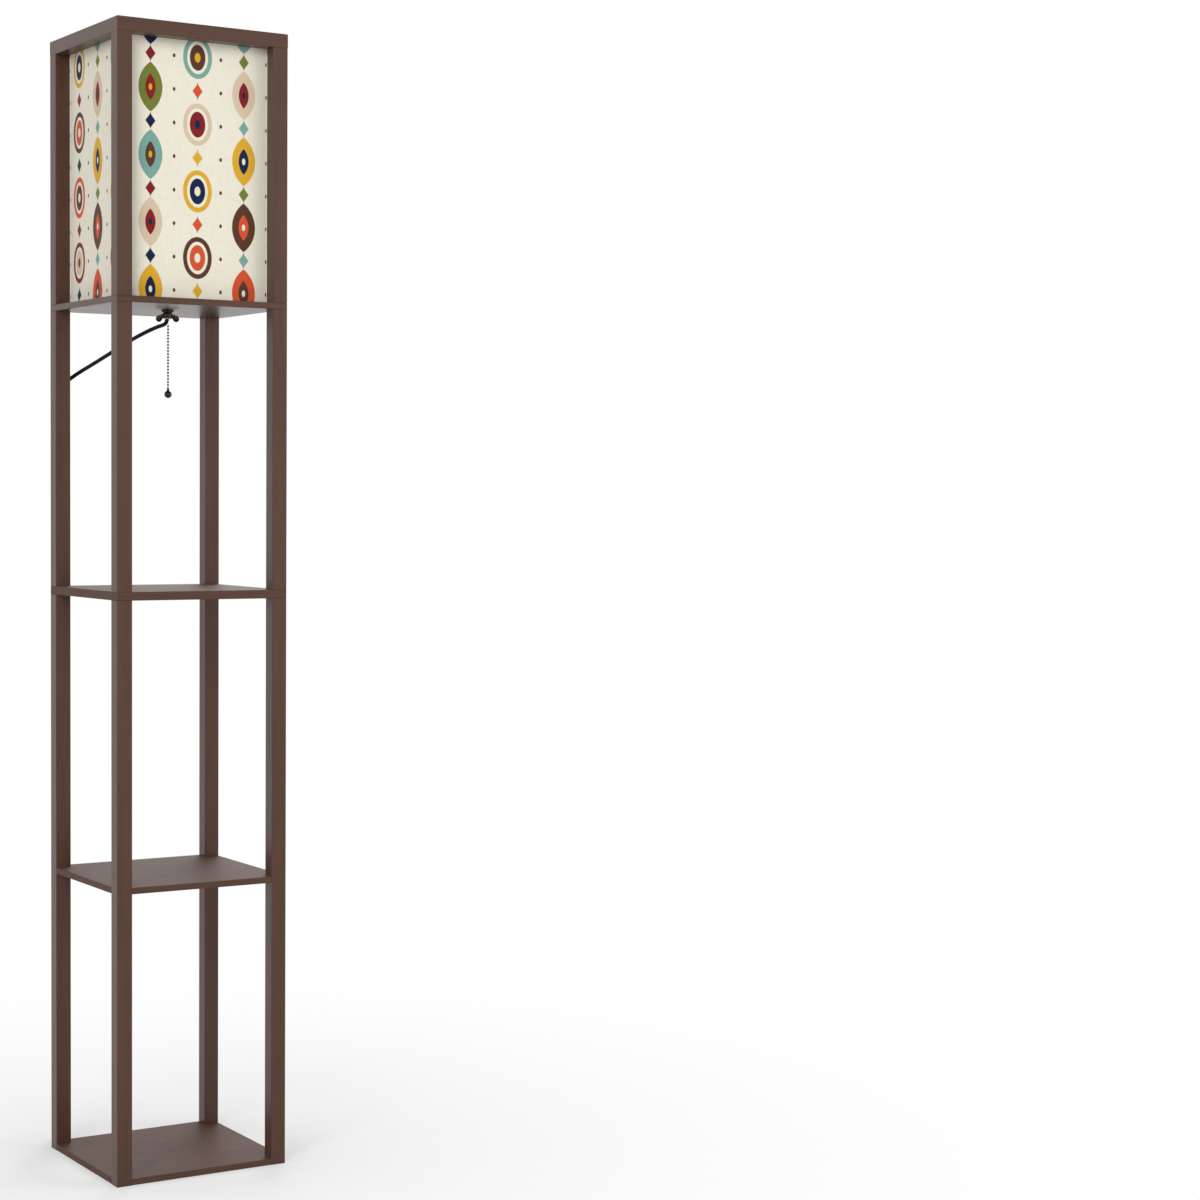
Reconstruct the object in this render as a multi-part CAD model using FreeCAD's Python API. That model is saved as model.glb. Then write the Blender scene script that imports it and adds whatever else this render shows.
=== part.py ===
import FreeCAD, Part
import math
import os

# Shelf floor lamp: a tall square frame of slim posts with a bottom board, two shelves and a
# lamp plate, a box shade set inside the posts at the top, and a pull-chain lamp holder.
# Millimetres, +Z up, -Y is the front. The origin is the centre of the base, on the floor.

V = FreeCAD.Vector
UP, ALONG_X, ALONG_Y = V(0, 0, 1), V(1, 0, 0), V(0, 1, 0)
NEARLY_ALONG = math.cos(math.radians(1))  # an edge within a degree of a direction is along it

# ---- frame ----
WIDTH = 254.0
DEPTH = 254.0
HEIGHT = 1600.0
POST = 22.0  # square section of the posts
EDGE = 1.0  # rounding of the lacquered edges
RAIL_HEIGHT = 20.0  # top frame
BOARD = 9.0  # bottom board, lower shelf and lamp plate
MIDDLE_BOARD = 12.0
BAY = 395.0  # clear height of each of the three open bays
STUD_RADIUS = 3.0  # threaded studs that join posts through a board
STUD_DEPTH = 18.0  # how far a stud reaches into each post
STUD_GAP = 0.1
END_GAP = 1.0  # room at the blind end of a hole
PIN_RADIUS = 2.0  # cross pins that hold the notched boards
PIN_DEPTH = 8.0
RAIL_DOWEL_DEPTH = 14.0  # how far a dowel of the top frame reaches up and down

# ---- shade ----
SHADE_GAP = 0.5  # between the fabric and the posts
FABRIC = 1.2  # canvas on its stiff backing
SHADE_BELOW_TOP = 8.0
WIRE_RADIUS = 1.5
WIRE_CORNER = 6.0  # bend of a wire ring at its corners

# ---- hollow nipple and what clamps it to the plate ----
NIPPLE_RADIUS = 5.0
NIPPLE_BORE = 4.0
NIPPLE_TAIL = 0.8  # thread that shows below the wing nut
NIPPLE_TOP = 8.0  # thread inside the socket cap
PLATE_HOLE_GAP = 0.4
THREAD_GAP = 0.1
CLAMP_RADIUS = 9.0  # washer under the plate
CLAMP_HEIGHT = 2.8
HUB_RADIUS = 6.4  # wing nut
HUB_HEIGHT = 8.4
WING_REACH = 16.5
WING_WIDTH = 9.0
WING_ROOT = 7.4  # width where it meets the hub
WING_THICK = 1.8
WING_DROOP = 34.0  # degrees below the level
WING_DROP = 0.75  # from the top of the hub to the wing's middle line, at the axis
WING_START = 4.3  # along that line, where the wing begins inside the hub
WING_HEADING = -20.0  # degrees from +X
TOP_WASHER_RADIUS = 11.0
TOP_WASHER = 1.2
LOCK_NUT = 4.0
LOCK_NUT_FLATS = 14.0
LOCK_NUT_SIDES = 6

# ---- lamp holder, heights from its foot ----
SHEET = 0.8  # metal of the cap and shell
CAP_NECK_RADIUS = 6.6
CAP_RADIUS = 17.0
CAP_NECK_TOP = 8.0
CAP_SHOULDER = 14.0
CAP_TOP = 28.0
SHELL_FOOT = 24.0
SHELL_TOP = 62.0
SHELL_BEAD = 0.8  # rolled rim of the shell
LINER = 0.6
SLIP = 0.1  # sliding fits inside the holder
BLOCK_GAP = 0.3
BLOCK_FOOT = 19.0
BLOCK_TOP = 36.0
FLAT_DEPTH = 2.9  # flats at the sides of the switch block for the terminals
FLAT_TOP = 33.0
TERMINAL_Z = 28.0
TERMINAL_HEAD = 3.0
TERMINAL_SHANK = 1.5
TERMINAL_HEAD_HEIGHT = 1.8
TERMINAL_LENGTH = 5.0
SCREW_SHELL_BORE = 13.25
SCREW_SHELL_WALL = 0.5
SCREW_SHELL_TOP = 60.0
CONTACT_HEIGHT = 3.0
CONTACT_LENGTH = 8.0
CONTACT_WIDTH = 3.0

# ---- pull switch and bead chain ----
LEVER_WIDTH = 3.0
LEVER_BACK = -0.3
LEVER_LENGTH = 6.7
LEVER_THICK = 2.0
LEVER_Z = 21.0
LEVER_GAP = 0.5
LEVER_ROOM = 11.0  # height of the slot in the switch block
CHAIN_Y = -1.9
BEAD_RADIUS = 1.5
BEAD_PITCH = 4.4
LINK_RADIUS = 0.4
JOINT_GAP = 0.3  # between two stretches of chain that move apart
HANGING_CHAIN = 97.0  # to the nearest bead
BALL_RADIUS = 5.3
BALL_NECK_RADIUS = 2.0
BALL_NECK = 2.0

# ---- bulb, heights from the foot of its centre contact ----
BULB_FOOT = 39.3  # above the foot of the holder
BULB_TIP_RADIUS = 4.5
BULB_TIP = 0.8
BULB_CONE = 3.0
BULB_CONE_RADIUS = 11.0
BULB_CAP_RADIUS = 13.0
BULB_CAP_TOP = 24.0
BULB_CAP_WALL = 0.4
BULB_RADIUS = 30.0
BULB_HEIGHT = 108.0
BULB_NECK_RADIUS = 12.3
BULB_SHOULDER = 20.0  # degrees below the globe's middle where the neck's cone meets it
GLASS = 0.9
STEM_RADIUS = 3.5
STEM_TOP = 46.0
FILAMENT_FOOT = 50.0
FILAMENT_LENGTH = 34.0
FILAMENT_RADIUS = 1.1
FILAMENT_CIRCLE = 7.0
FILAMENTS = 4
FILAMENT_HEADING = 45.0  # degrees from +X to the first
SPIDER_WIRE = 0.5

# ---- cord ----
CORD_WIDTH = 5.5  # flat twin lamp cord
CORD_THICK = 2.8
WIRE_INSULATION = 1.35  # radius of one insulated conductor inside the holder
ROUND_SHARE = 0.45  # share of the shorter run that an arc takes up
# From the nipple, round the back left post and down behind it to the tied hank.
CORD = [
    V(0, 1.5, 1207), V(0, 1.5, 1202), V(-1.1, 3.1, 1197.4), V(-3.2, 6.1, 1193.9),
    V(-8, 12.8, 1190.6), V(-17.6, 27, 1185), V(-34, 49, 1173.6), V(-53.5, 74, 1157),
    V(-72.5, 100.5, 1140.5), V(-89.5, 123.5, 1126), V(-101, 136.5, 1114), V(-110, 139.8, 1098),
    V(-114.4, 137.6, 1078), V(-115.4, 134.6, 1046), V(-115, 133.1, 985),
    V(-114.4, 132.7, 915), V(-115.1, 133.5, 838),
    V(-115.8, 133.2, 762), V(-115.2, 132.6, 690), V(-114.5, 133.1, 620), V(-114.9, 133.8, 545),
    V(-115.7, 133.3, 470), V(-115.4, 132.6, 395), V(-114.8, 132.7, 328), V(-114.7, 133.3, 266),
    V(-115, 135.5, 197), V(-115, 135.5, 128),
]
HANK_HEADING = 68.5  # degrees from +X, away from the front
HANK_DEPTH = 32.0  # between the middles of its two sides
HANK_BUNDLE = 7.0  # a side of the hank, across the cords
HANK_THICK = 12.0
HANK_FOOT = 1.0
HANK_TOP = 121.0
HANK_LEAD = 6.0  # square section of the cord's ends above the hank
TIE = 0.7
TIE_GAP = 0.2
TIE_Z = 52.0
TIE_HEIGHT = 10.0

# ---- clips on the back left post ----
CLIP_WIDTH = 14.0
CLIP_HEIGHT = 10.0
CLIP_BASE = 2.0
CLIP_WALL = 2.0
CLIP_BORE = 3.6
CLIP_HEIGHTS = [328.0, 655.0, 985.0]

# ---- plug ----
PLUG_RELIEF = 20.0
PLUG_RELIEF_RADIUS = 5.5
PLUG_WIDTH = 24.0
PLUG_THICK = 15.0
PLUG_HEIGHT = 28.0
PLUG_EDGE = 3.0
BLADE_SPACING = 12.7
BLADE_WIDTH = 6.4
BLADE_THICK = 1.5
BLADE_LENGTH = 17.0

# ---- worked out ----
HALF_WIDTH, HALF_DEPTH = WIDTH / 2, DEPTH / 2
POST_TOP = HEIGHT - RAIL_HEIGHT
LOWER_SHELF_Z = BOARD + BAY  # undersides of the boards
LOWER_SHELF_TOP = LOWER_SHELF_Z + BOARD
MIDDLE_SHELF_Z = LOWER_SHELF_TOP + BAY
MIDDLE_SHELF_TOP = MIDDLE_SHELF_Z + MIDDLE_BOARD
PLATE_Z = MIDDLE_SHELF_TOP + BAY
PLATE_TOP = PLATE_Z + BOARD
SHADE_HALF_X = HALF_WIDTH - POST - SHADE_GAP
SHADE_HALF_Y = HALF_DEPTH - POST - SHADE_GAP
SHADE_TOP = HEIGHT - SHADE_BELOW_TOP
CLAMP_Z = PLATE_Z - CLAMP_HEIGHT
HUB_Z = CLAMP_Z - HUB_HEIGHT
NIPPLE_Z = HUB_Z - NIPPLE_TAIL
HOLDER_Z = PLATE_TOP + TOP_WASHER + LOCK_NUT
SHELL_RADIUS = CAP_RADIUS - SHEET - SLIP
LINER_RADIUS = SHELL_RADIUS - SHEET - SLIP
BLOCK_RADIUS = LINER_RADIUS - LINER - BLOCK_GAP
FLAT_X = BLOCK_RADIUS - FLAT_DEPTH
LEVER_Y = (LEVER_BACK - LEVER_LENGTH, LEVER_BACK)
PIVOT_Z = NIPPLE_Z - BEAD_RADIUS - JOINT_GAP
HANGING_BEADS = round(HANGING_CHAIN / BEAD_PITCH)
HANGING_TOP = PIVOT_Z - BEAD_RADIUS - JOINT_GAP
BULB_Z = HOLDER_Z + BULB_FOOT
CORNERS = {
    "front_left": (-1, -1),
    "front_right": (1, -1),
    "back_left": (-1, 1),
    "back_right": (1, 1),
}


def save(name, shape):
    """Writes one sub-part as parts/NAME.step."""
    shape.exportStep(f"parts/{name}.step")


def block(x, y, z):
    """A box between pairs of coordinates."""
    return Part.makeBox(x[1] - x[0], y[1] - y[0], z[1] - z[0], V(x[0], y[0], z[0]))


def rod(radius, low, high, x=0.0, y=0.0):
    """An upright cylinder."""
    return Part.makeCylinder(radius, high - low, V(x, y, low))


def pipe(outer, bore, low, high):
    """An upright pipe on the lamp's axis."""
    return rod(outer, low, high).cut(rod(bore, low, high))


def turned(profile):
    """A solid of revolution about the lamp's axis from (radius, height) points."""
    points = [V(radius, 0, height) for radius, height in profile]
    face = Part.Face(Part.makePolygon([*points, points[0]]))
    return face.revolve(V(0, 0, 0), UP, 360)


def joined(shapes):
    """One solid from shapes that meet."""
    return shapes[0].multiFuse(shapes[1:]).removeSplitter()


def group(shapes):
    """Separate solids in one sub-part."""
    return Part.makeCompound(shapes)


def edges_along(shape, direction):
    """The straight edges of a shape that run along a direction."""
    found = []
    for edge in shape.Edges:
        run = edge.Vertexes[-1].Point - edge.Vertexes[0].Point
        if run.Length > 0 and abs(run.normalize().dot(direction)) > NEARLY_ALONG:
            found.append(edge)
    return found


def rim_edges(board):
    """The long top and bottom edges on the outside of a square board."""
    found = []
    for edge in board.Edges:
        box = edge.BoundBox
        flat_x = box.XLength < EDGE and abs(abs(box.XMin) - HALF_WIDTH) < EDGE
        flat_y = box.YLength < EDGE and abs(abs(box.YMin) - HALF_DEPTH) < EDGE
        if box.ZLength < EDGE and (flat_x or flat_y):
            found.append(edge)
    return found


def post_range(half, side):
    """The span of a post across one axis, on its side of the frame."""
    outer, inner = side * half, side * (half - POST)
    return min(outer, inner), max(outer, inner)


def post_centre(side_x, side_y):
    return side_x * (HALF_WIDTH - POST / 2), side_y * (HALF_DEPTH - POST / 2)


def stud_hole(side_x, side_y, low, high):
    """A hole for a stud or dowel on a post's axis."""
    x, y = post_centre(side_x, side_y)
    return rod(STUD_RADIUS + STUD_GAP, low, high, x, y)


def cross_pin(side_x, side_y, board_z, radius, extra):
    """A pin, or its hole with extra room at each end, from a post into the board's edge."""
    reach = PIN_DEPTH + extra
    start = V(side_x * (HALF_WIDTH - POST) - reach, side_y * (HALF_DEPTH - POST / 2), board_z)
    return Part.makeCylinder(radius, 2 * reach, start, ALONG_X)


def post(side_x, side_y, low, high, holes):
    """One post with rounded long edges and its blind holes."""
    body = block(post_range(HALF_WIDTH, side_x), post_range(HALF_DEPTH, side_y), (low, high))
    body = body.makeFillet(EDGE, edges_along(body, UP))
    for hole in holes:
        body = body.cut(hole)
    return body


def lower_post(side_x, side_y):
    holes = [stud_hole(side_x, side_y, MIDDLE_SHELF_Z - STUD_DEPTH - END_GAP, MIDDLE_SHELF_Z)]
    for underside in (0.0, LOWER_SHELF_Z):
        middle = underside + BOARD / 2
        holes.append(cross_pin(side_x, side_y, middle, PIN_RADIUS + STUD_GAP, END_GAP))
    return post(side_x, side_y, 0, MIDDLE_SHELF_Z, holes)


def upper_post(side_x, side_y):
    low = stud_hole(side_x, side_y, MIDDLE_SHELF_TOP, MIDDLE_SHELF_TOP + STUD_DEPTH + END_GAP)
    high = stud_hole(side_x, side_y, PLATE_Z - STUD_DEPTH - END_GAP, PLATE_Z)
    return post(side_x, side_y, MIDDLE_SHELF_TOP, PLATE_Z, [low, high])


def shade_post(side_x, side_y):
    low = stud_hole(side_x, side_y, PLATE_TOP, PLATE_TOP + STUD_DEPTH + END_GAP)
    high = stud_hole(side_x, side_y, POST_TOP - RAIL_DOWEL_DEPTH - END_GAP, POST_TOP)
    return post(side_x, side_y, PLATE_TOP, POST_TOP, [low, high])


def board(underside, thickness):
    """A full square board with rounded outer edges."""
    span_x, span_y = (-HALF_WIDTH, HALF_WIDTH), (-HALF_DEPTH, HALF_DEPTH)
    body = block(span_x, span_y, (underside, underside + thickness))
    body = body.makeFillet(EDGE, edges_along(body, UP))
    return body.makeFillet(EDGE, rim_edges(body))


def notched_board(underside):
    """A board whose corners are cut out round the lower posts."""
    span = (underside, underside + BOARD)
    body = block((-HALF_WIDTH, HALF_WIDTH), (-HALF_DEPTH, HALF_DEPTH), span)
    for side_x, side_y in CORNERS.values():
        x, y = post_range(HALF_WIDTH, side_x), post_range(HALF_DEPTH, side_y)
        body = body.cut(block(x, y, span))
    body = body.makeFillet(EDGE, rim_edges(body))
    for side_x, side_y in CORNERS.values():
        middle = underside + BOARD / 2
        body = body.cut(cross_pin(side_x, side_y, middle, PIN_RADIUS + STUD_GAP, END_GAP))
    return body


def studded_board(underside, thickness):
    """A full board with holes for the studs between the posts below and above it."""
    body = board(underside, thickness)
    for side_x, side_y in CORNERS.values():
        body = body.cut(stud_hole(side_x, side_y, underside, underside + thickness))
    return body


def lamp_plate():
    hole = rod(NIPPLE_RADIUS + PLATE_HOLE_GAP, PLATE_Z, PLATE_TOP)
    return studded_board(PLATE_Z, BOARD).cut(hole)


def studs(underside, thickness):
    """The four studs through one board."""
    low, high = underside - STUD_DEPTH, underside + thickness + STUD_DEPTH
    return group([rod(STUD_RADIUS, low, high, *post_centre(*side)) for side in CORNERS.values()])


def shelf_pins():
    pins = []
    for underside in (0.0, LOWER_SHELF_Z):
        for side in CORNERS.values():
            pins.append(cross_pin(*side, underside + BOARD / 2, PIN_RADIUS, 0))
    return group(pins)


def rail_dowels():
    low, high = POST_TOP - RAIL_DOWEL_DEPTH, POST_TOP + RAIL_DOWEL_DEPTH
    return group([rod(STUD_RADIUS, low, high, *post_centre(*side)) for side in CORNERS.values()])


def top_rail(turn):
    """One mitred rail of the top frame: the front one, turned about the axis."""
    swapped = turn % 180 != 0
    half, front = (HALF_DEPTH, HALF_WIDTH) if swapped else (HALF_WIDTH, HALF_DEPTH)
    outline = [
        V(-half, -front, POST_TOP),
        V(half, -front, POST_TOP),
        V(half - POST, -front + POST, POST_TOP),
        V(-half + POST, -front + POST, POST_TOP),
    ]
    face = Part.Face(Part.makePolygon([*outline, outline[0]]))
    rail = face.extrude(V(0, 0, RAIL_HEIGHT))
    rail = rail.makeFillet(EDGE, edges_along(rail, ALONG_X))
    rail.rotate(V(0, 0, 0), UP, turn)
    for side in CORNERS.values():
        rail = rail.cut(stud_hole(*side, POST_TOP, POST_TOP + RAIL_DOWEL_DEPTH + END_GAP))
    return rail


def shade_panels():
    """Four panels of canvas on a stiff backing. The front and back lap the ends of the sides."""
    x, y = SHADE_HALF_X, SHADE_HALF_Y
    z = (PLATE_TOP, SHADE_TOP)
    between = (-y + FABRIC, y - FABRIC)
    return {
        "shade_panel_front": block((-x, x), (-y, -y + FABRIC), z),
        "shade_panel_back": block((-x, x), (y - FABRIC, y), z),
        "shade_panel_left": block((-x, -x + FABRIC), between, z),
        "shade_panel_right": block((x - FABRIC, x), between, z),
    }


def wire_ring(height):
    """A square ring of round wire inside the shade."""
    half_x = SHADE_HALF_X - FABRIC - WIRE_RADIUS
    half_y = SHADE_HALF_Y - FABRIC - WIRE_RADIUS
    pieces = []
    for side_x, side_y in CORNERS.values():
        centre = V(side_x * (half_x - WIRE_CORNER), side_y * (half_y - WIRE_CORNER), height)
        bend = Part.makeTorus(WIRE_CORNER, WIRE_RADIUS, centre, UP)
        reach = WIRE_CORNER + WIRE_RADIUS
        x = sorted((centre.x, centre.x + side_x * reach))
        y = sorted((centre.y, centre.y + side_y * reach))
        pieces.append(bend.common(block(x, y, (height - WIRE_RADIUS, height + WIRE_RADIUS))))
    run_x, run_y = half_x - WIRE_CORNER, half_y - WIRE_CORNER
    for side in (-1, 1):
        start_x, start_y = V(-run_x, side * half_y, height), V(side * half_x, -run_y, height)
        pieces.append(Part.makeCylinder(WIRE_RADIUS, 2 * run_x, start_x, ALONG_X))
        pieces.append(Part.makeCylinder(WIRE_RADIUS, 2 * run_y, start_y, ALONG_Y))
    return joined(pieces)


def wing():
    """One upright petal of the wing nut, drooping from the hub towards +X."""
    tip = (WING_REACH - WING_WIDTH / 2) / math.cos(math.radians(WING_DROOP))
    side = WING_THICK / 2
    petal = Part.makeCylinder(WING_WIDTH / 2, WING_THICK, V(tip, -side, 0), ALONG_Y)
    root = block((WING_START, tip), (-side, side), (-WING_ROOT / 2, WING_ROOT / 2))
    petal = petal.fuse(root)
    petal.rotate(V(0, 0, 0), ALONG_Y, WING_DROOP)
    petal.translate(V(0, 0, CLAMP_Z - WING_DROP))
    return petal.cut(rod(HUB_RADIUS, HUB_Z - WING_REACH, HUB_Z))


def wing_nut():
    near, far = wing(), wing()
    far.rotate(V(0, 0, 0), UP, 180)
    nut = joined([rod(HUB_RADIUS, HUB_Z, CLAMP_Z), near, far])
    nut = nut.cut(rod(NIPPLE_RADIUS + THREAD_GAP, HUB_Z - WING_REACH, CLAMP_Z))
    nut.rotate(V(0, 0, 0), UP, WING_HEADING)
    return nut


def lock_nut():
    corner = LOCK_NUT_FLATS / 2 / math.cos(math.pi / LOCK_NUT_SIDES)
    low = PLATE_TOP + TOP_WASHER
    points = []
    for side in range(LOCK_NUT_SIDES + 1):
        angle = 2 * math.pi * side / LOCK_NUT_SIDES
        points.append(V(corner * math.cos(angle), corner * math.sin(angle), low))
    nut = Part.Face(Part.makePolygon(points)).extrude(V(0, 0, LOCK_NUT))
    return nut.cut(rod(NIPPLE_RADIUS + THREAD_GAP, low, low + LOCK_NUT))


def socket_cap():
    bore, inner = NIPPLE_RADIUS + THREAD_GAP, CAP_RADIUS - SHEET
    return turned([
        (bore, HOLDER_Z),
        (CAP_NECK_RADIUS, HOLDER_Z),
        (CAP_NECK_RADIUS, HOLDER_Z + CAP_NECK_TOP),
        (CAP_RADIUS, HOLDER_Z + CAP_SHOULDER),
        (CAP_RADIUS, HOLDER_Z + CAP_TOP),
        (inner, HOLDER_Z + CAP_TOP),
        (inner, HOLDER_Z + CAP_SHOULDER + SHEET / 2),
        (bore, HOLDER_Z + CAP_NECK_TOP + SHEET),
    ])


def socket_shell():
    inner, foot, top = SHELL_RADIUS - SHEET, HOLDER_Z + SHELL_FOOT, HOLDER_Z + SHELL_TOP
    rim = pipe(SHELL_RADIUS + SHELL_BEAD, inner, top - 2 * SHELL_BEAD, top)
    return joined([pipe(SHELL_RADIUS, inner, foot, top), rim])


def switch_block():
    """The moulded body of the switch, with flats for the terminals and a slot for the lever."""
    low, high = HOLDER_Z + BLOCK_FOOT, HOLDER_Z + BLOCK_TOP
    body = rod(BLOCK_RADIUS, low, high)
    for side in (-1, 1):
        x = sorted((side * FLAT_X, side * CAP_RADIUS))
        body = body.cut(block(x, (-CAP_RADIUS, CAP_RADIUS), (low, HOLDER_Z + FLAT_TOP)))
    slot_x = LEVER_WIDTH / 2 + LEVER_GAP
    slot_y = (LEVER_Y[0] - LEVER_GAP, LEVER_Y[1] + LEVER_GAP)
    body = body.cut(block((-slot_x, slot_x), slot_y, (low, low + LEVER_ROOM)))
    for screw in terminal_shanks(TERMINAL_SHANK):
        body = body.cut(screw)
    return body


def terminal_shanks(radius):
    height = HOLDER_Z + TERMINAL_Z
    inner = FLAT_X - TERMINAL_LENGTH
    return [
        Part.makeCylinder(radius, TERMINAL_LENGTH, V(side * inner, 0, height), V(side, 0, 0))
        for side in (-1, 1)
    ]


def terminal_screws():
    screws = []
    for side, shank in zip((-1, 1), terminal_shanks(TERMINAL_SHANK), strict=True):
        start = V(side * FLAT_X, 0, HOLDER_Z + TERMINAL_Z)
        head = Part.makeCylinder(TERMINAL_HEAD, TERMINAL_HEAD_HEIGHT, start, V(side, 0, 0))
        screws.append(joined([shank, head]))
    return group(screws)


def socket_liner():
    return pipe(LINER_RADIUS, LINER_RADIUS - LINER, HOLDER_Z + CAP_TOP, HOLDER_Z + SCREW_SHELL_TOP)


def screw_shell():
    outer = SCREW_SHELL_BORE + SCREW_SHELL_WALL
    return pipe(outer, SCREW_SHELL_BORE, HOLDER_Z + BLOCK_TOP, HOLDER_Z + SCREW_SHELL_TOP)


def centre_contact():
    """A bent brass tongue that the bulb presses on."""
    low = HOLDER_Z + BLOCK_TOP
    half, width = CONTACT_LENGTH / 2, CONTACT_WIDTH / 2
    foot = block((-half, half), (-width, width), (low, low + SHEET))
    riser = block((half - SHEET, half), (-width, width), (low, low + CONTACT_HEIGHT))
    high = low + CONTACT_HEIGHT
    tongue = block((-width, half), (-width, width), (high - SHEET, high))
    return joined([foot, riser, tongue])


def inner_wires():
    """The two conductors from the cord up the nipple to their terminals."""
    wires = []
    for side in (-1, 1):
        near, far = side * WIRE_INSULATION, side * (FLAT_X + WIRE_INSULATION + SLIP)
        y = CORD[0].y
        route = [
            V(near, y, CORD[0].z),
            V(near, y, HOLDER_Z + CAP_NECK_TOP + 2 * WIRE_INSULATION),
            V(far, y, HOLDER_Z + CAP_SHOULDER + WIRE_INSULATION),
            V(far, y, HOLDER_Z + TERMINAL_Z - TERMINAL_HEAD - SLIP),
        ]
        wires.append(swept(route, round_section(WIRE_INSULATION, route[0])))
    return group(wires)


def pull_lever():
    z = (HOLDER_Z + LEVER_Z, HOLDER_Z + LEVER_Z + LEVER_THICK)
    return block((-LEVER_WIDTH / 2, LEVER_WIDTH / 2), LEVER_Y, z)


def beads(link_top, last, count):
    """Beads on their link wire, which runs from a height down to the middle of the last bead."""
    pieces = [rod(LINK_RADIUS, last, link_top, 0, CHAIN_Y)]
    for k in range(count):
        pieces.append(Part.makeSphere(BEAD_RADIUS, V(0, CHAIN_Y, last + k * BEAD_PITCH)))
    return joined(pieces)


def chain_top_length():
    """The chain inside the nipple and the cap, from the lever to the nipple's mouth."""
    top = HOLDER_Z + LEVER_Z
    last = PIVOT_Z + 2 * BEAD_RADIUS + JOINT_GAP
    return beads(top, last, int((top - last) / BEAD_PITCH))


def chain_first_bead():
    return Part.makeSphere(BEAD_RADIUS, V(0, CHAIN_Y, PIVOT_Z))


def last_bead_z():
    first = HANGING_TOP - BEAD_PITCH / 2
    return first - BEAD_PITCH * (HANGING_BEADS - 1)


def pull_chain():
    return beads(HANGING_TOP, last_bead_z(), HANGING_BEADS)


def chain_ball():
    """The ball at the end of the chain, with the neck that grips the last bead."""
    top = last_bead_z() - BEAD_RADIUS
    centre = V(0, CHAIN_Y, top - BALL_NECK - BALL_RADIUS)
    neck = rod(BALL_NECK_RADIUS, centre.z, top, 0, CHAIN_Y)
    return joined([Part.makeSphere(BALL_RADIUS, centre), neck])


def bulb_outline(wall):
    """Half of the glass in section, inset by a wall, from the cap up to the crown."""
    globe = BULB_Z + BULB_HEIGHT - BULB_RADIUS
    radius, neck = BULB_RADIUS - wall, BULB_NECK_RADIUS - wall
    foot = BULB_Z + BULB_CAP_TOP
    shoulder = math.radians(BULB_SHOULDER)
    across, rise = radius * math.cos(shoulder), radius * math.sin(shoulder)
    joint, middle = V(across, 0, globe - rise), V(across, 0, globe + rise)
    top = V(0, 0, globe + radius)
    edges = [
        Part.LineSegment(V(neck, 0, foot), joint).toShape(),
        Part.Arc(joint, middle, top).toShape(),
        Part.LineSegment(top, V(0, 0, foot)).toShape(),
        Part.LineSegment(V(0, 0, foot), V(neck, 0, foot)).toShape(),
    ]
    return Part.Face(Part.Wire(edges)).revolve(V(0, 0, 0), UP, 360)


def bulb_glass():
    return bulb_outline(0).cut(bulb_outline(GLASS))


def bulb_cap():
    """The screw cap, open at both ends."""
    low, high = BULB_Z + BULB_CONE, BULB_Z + BULB_CAP_TOP
    return pipe(BULB_CAP_RADIUS, BULB_CAP_RADIUS - BULB_CAP_WALL, low, high)


def bulb_insulator():
    low, high = BULB_Z + BULB_TIP, BULB_Z + BULB_CONE
    return turned([
        (0, low),
        (BULB_TIP_RADIUS, low),
        (BULB_CONE_RADIUS, high),
        (BULB_CAP_RADIUS - BULB_CAP_WALL, high),
        (BULB_CAP_RADIUS - BULB_CAP_WALL, high + BULB_CONE),
        (0, high + BULB_CONE),
    ])


def bulb_contact():
    return rod(BULB_TIP_RADIUS - SHEET, BULB_Z, BULB_Z + BULB_TIP)


def filament_places():
    for k in range(FILAMENTS):
        angle = math.radians(FILAMENT_HEADING) + 2 * math.pi * k / FILAMENTS
        yield FILAMENT_CIRCLE * math.cos(angle), FILAMENT_CIRCLE * math.sin(angle)


def bulb_stem():
    """The glass stem on its foot and the wires that carry the filaments."""
    foot = BULB_Z + BULB_CAP_TOP
    low, high = BULB_Z + FILAMENT_FOOT, BULB_Z + FILAMENT_FOOT + FILAMENT_LENGTH
    flare = BULB_NECK_RADIUS - GLASS
    pieces = [
        rod(flare, foot, foot + GLASS),
        rod(STEM_RADIUS, foot, BULB_Z + STEM_TOP),
        rod(SPIDER_WIRE, foot, high + SPIDER_WIRE),
    ]
    for x, y in filament_places():
        for height in (low - SPIDER_WIRE, high + SPIDER_WIRE):
            arm = Part.makeCylinder(SPIDER_WIRE, V(x, y, 0).Length, V(0, 0, height), V(x, y, 0))
            pieces.append(arm)
            pieces.append(Part.makeSphere(SPIDER_WIRE, V(x, y, height)))
    return joined(pieces)


def bulb_filaments():
    low, high = BULB_Z + FILAMENT_FOOT, BULB_Z + FILAMENT_FOOT + FILAMENT_LENGTH
    return group([rod(FILAMENT_RADIUS, low, high, x, y) for x, y in filament_places()])


def round_section(radius, place):
    """A level round face."""
    return Part.Face(Part.Wire(Part.makeCircle(radius, place, UP)))


def flat_section(width, thick, place):
    """A level oblong face with round ends, across a cord."""
    run, radius = (width - thick) / 2, thick / 2
    x, y, z = place.x, place.y, place.z
    edges = [
        Part.LineSegment(V(x - run, y - radius, z), V(x + run, y - radius, z)),
        Part.Arc(V(x + run, y - radius, z), V(x + run + radius, y, z), V(x + run, y + radius, z)),
        Part.LineSegment(V(x + run, y + radius, z), V(x - run, y + radius, z)),
        Part.Arc(V(x - run, y + radius, z), V(x - run - radius, y, z), V(x - run, y - radius, z)),
    ]
    return Part.Face(Part.Wire([edge.toShape() for edge in edges]))


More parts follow.
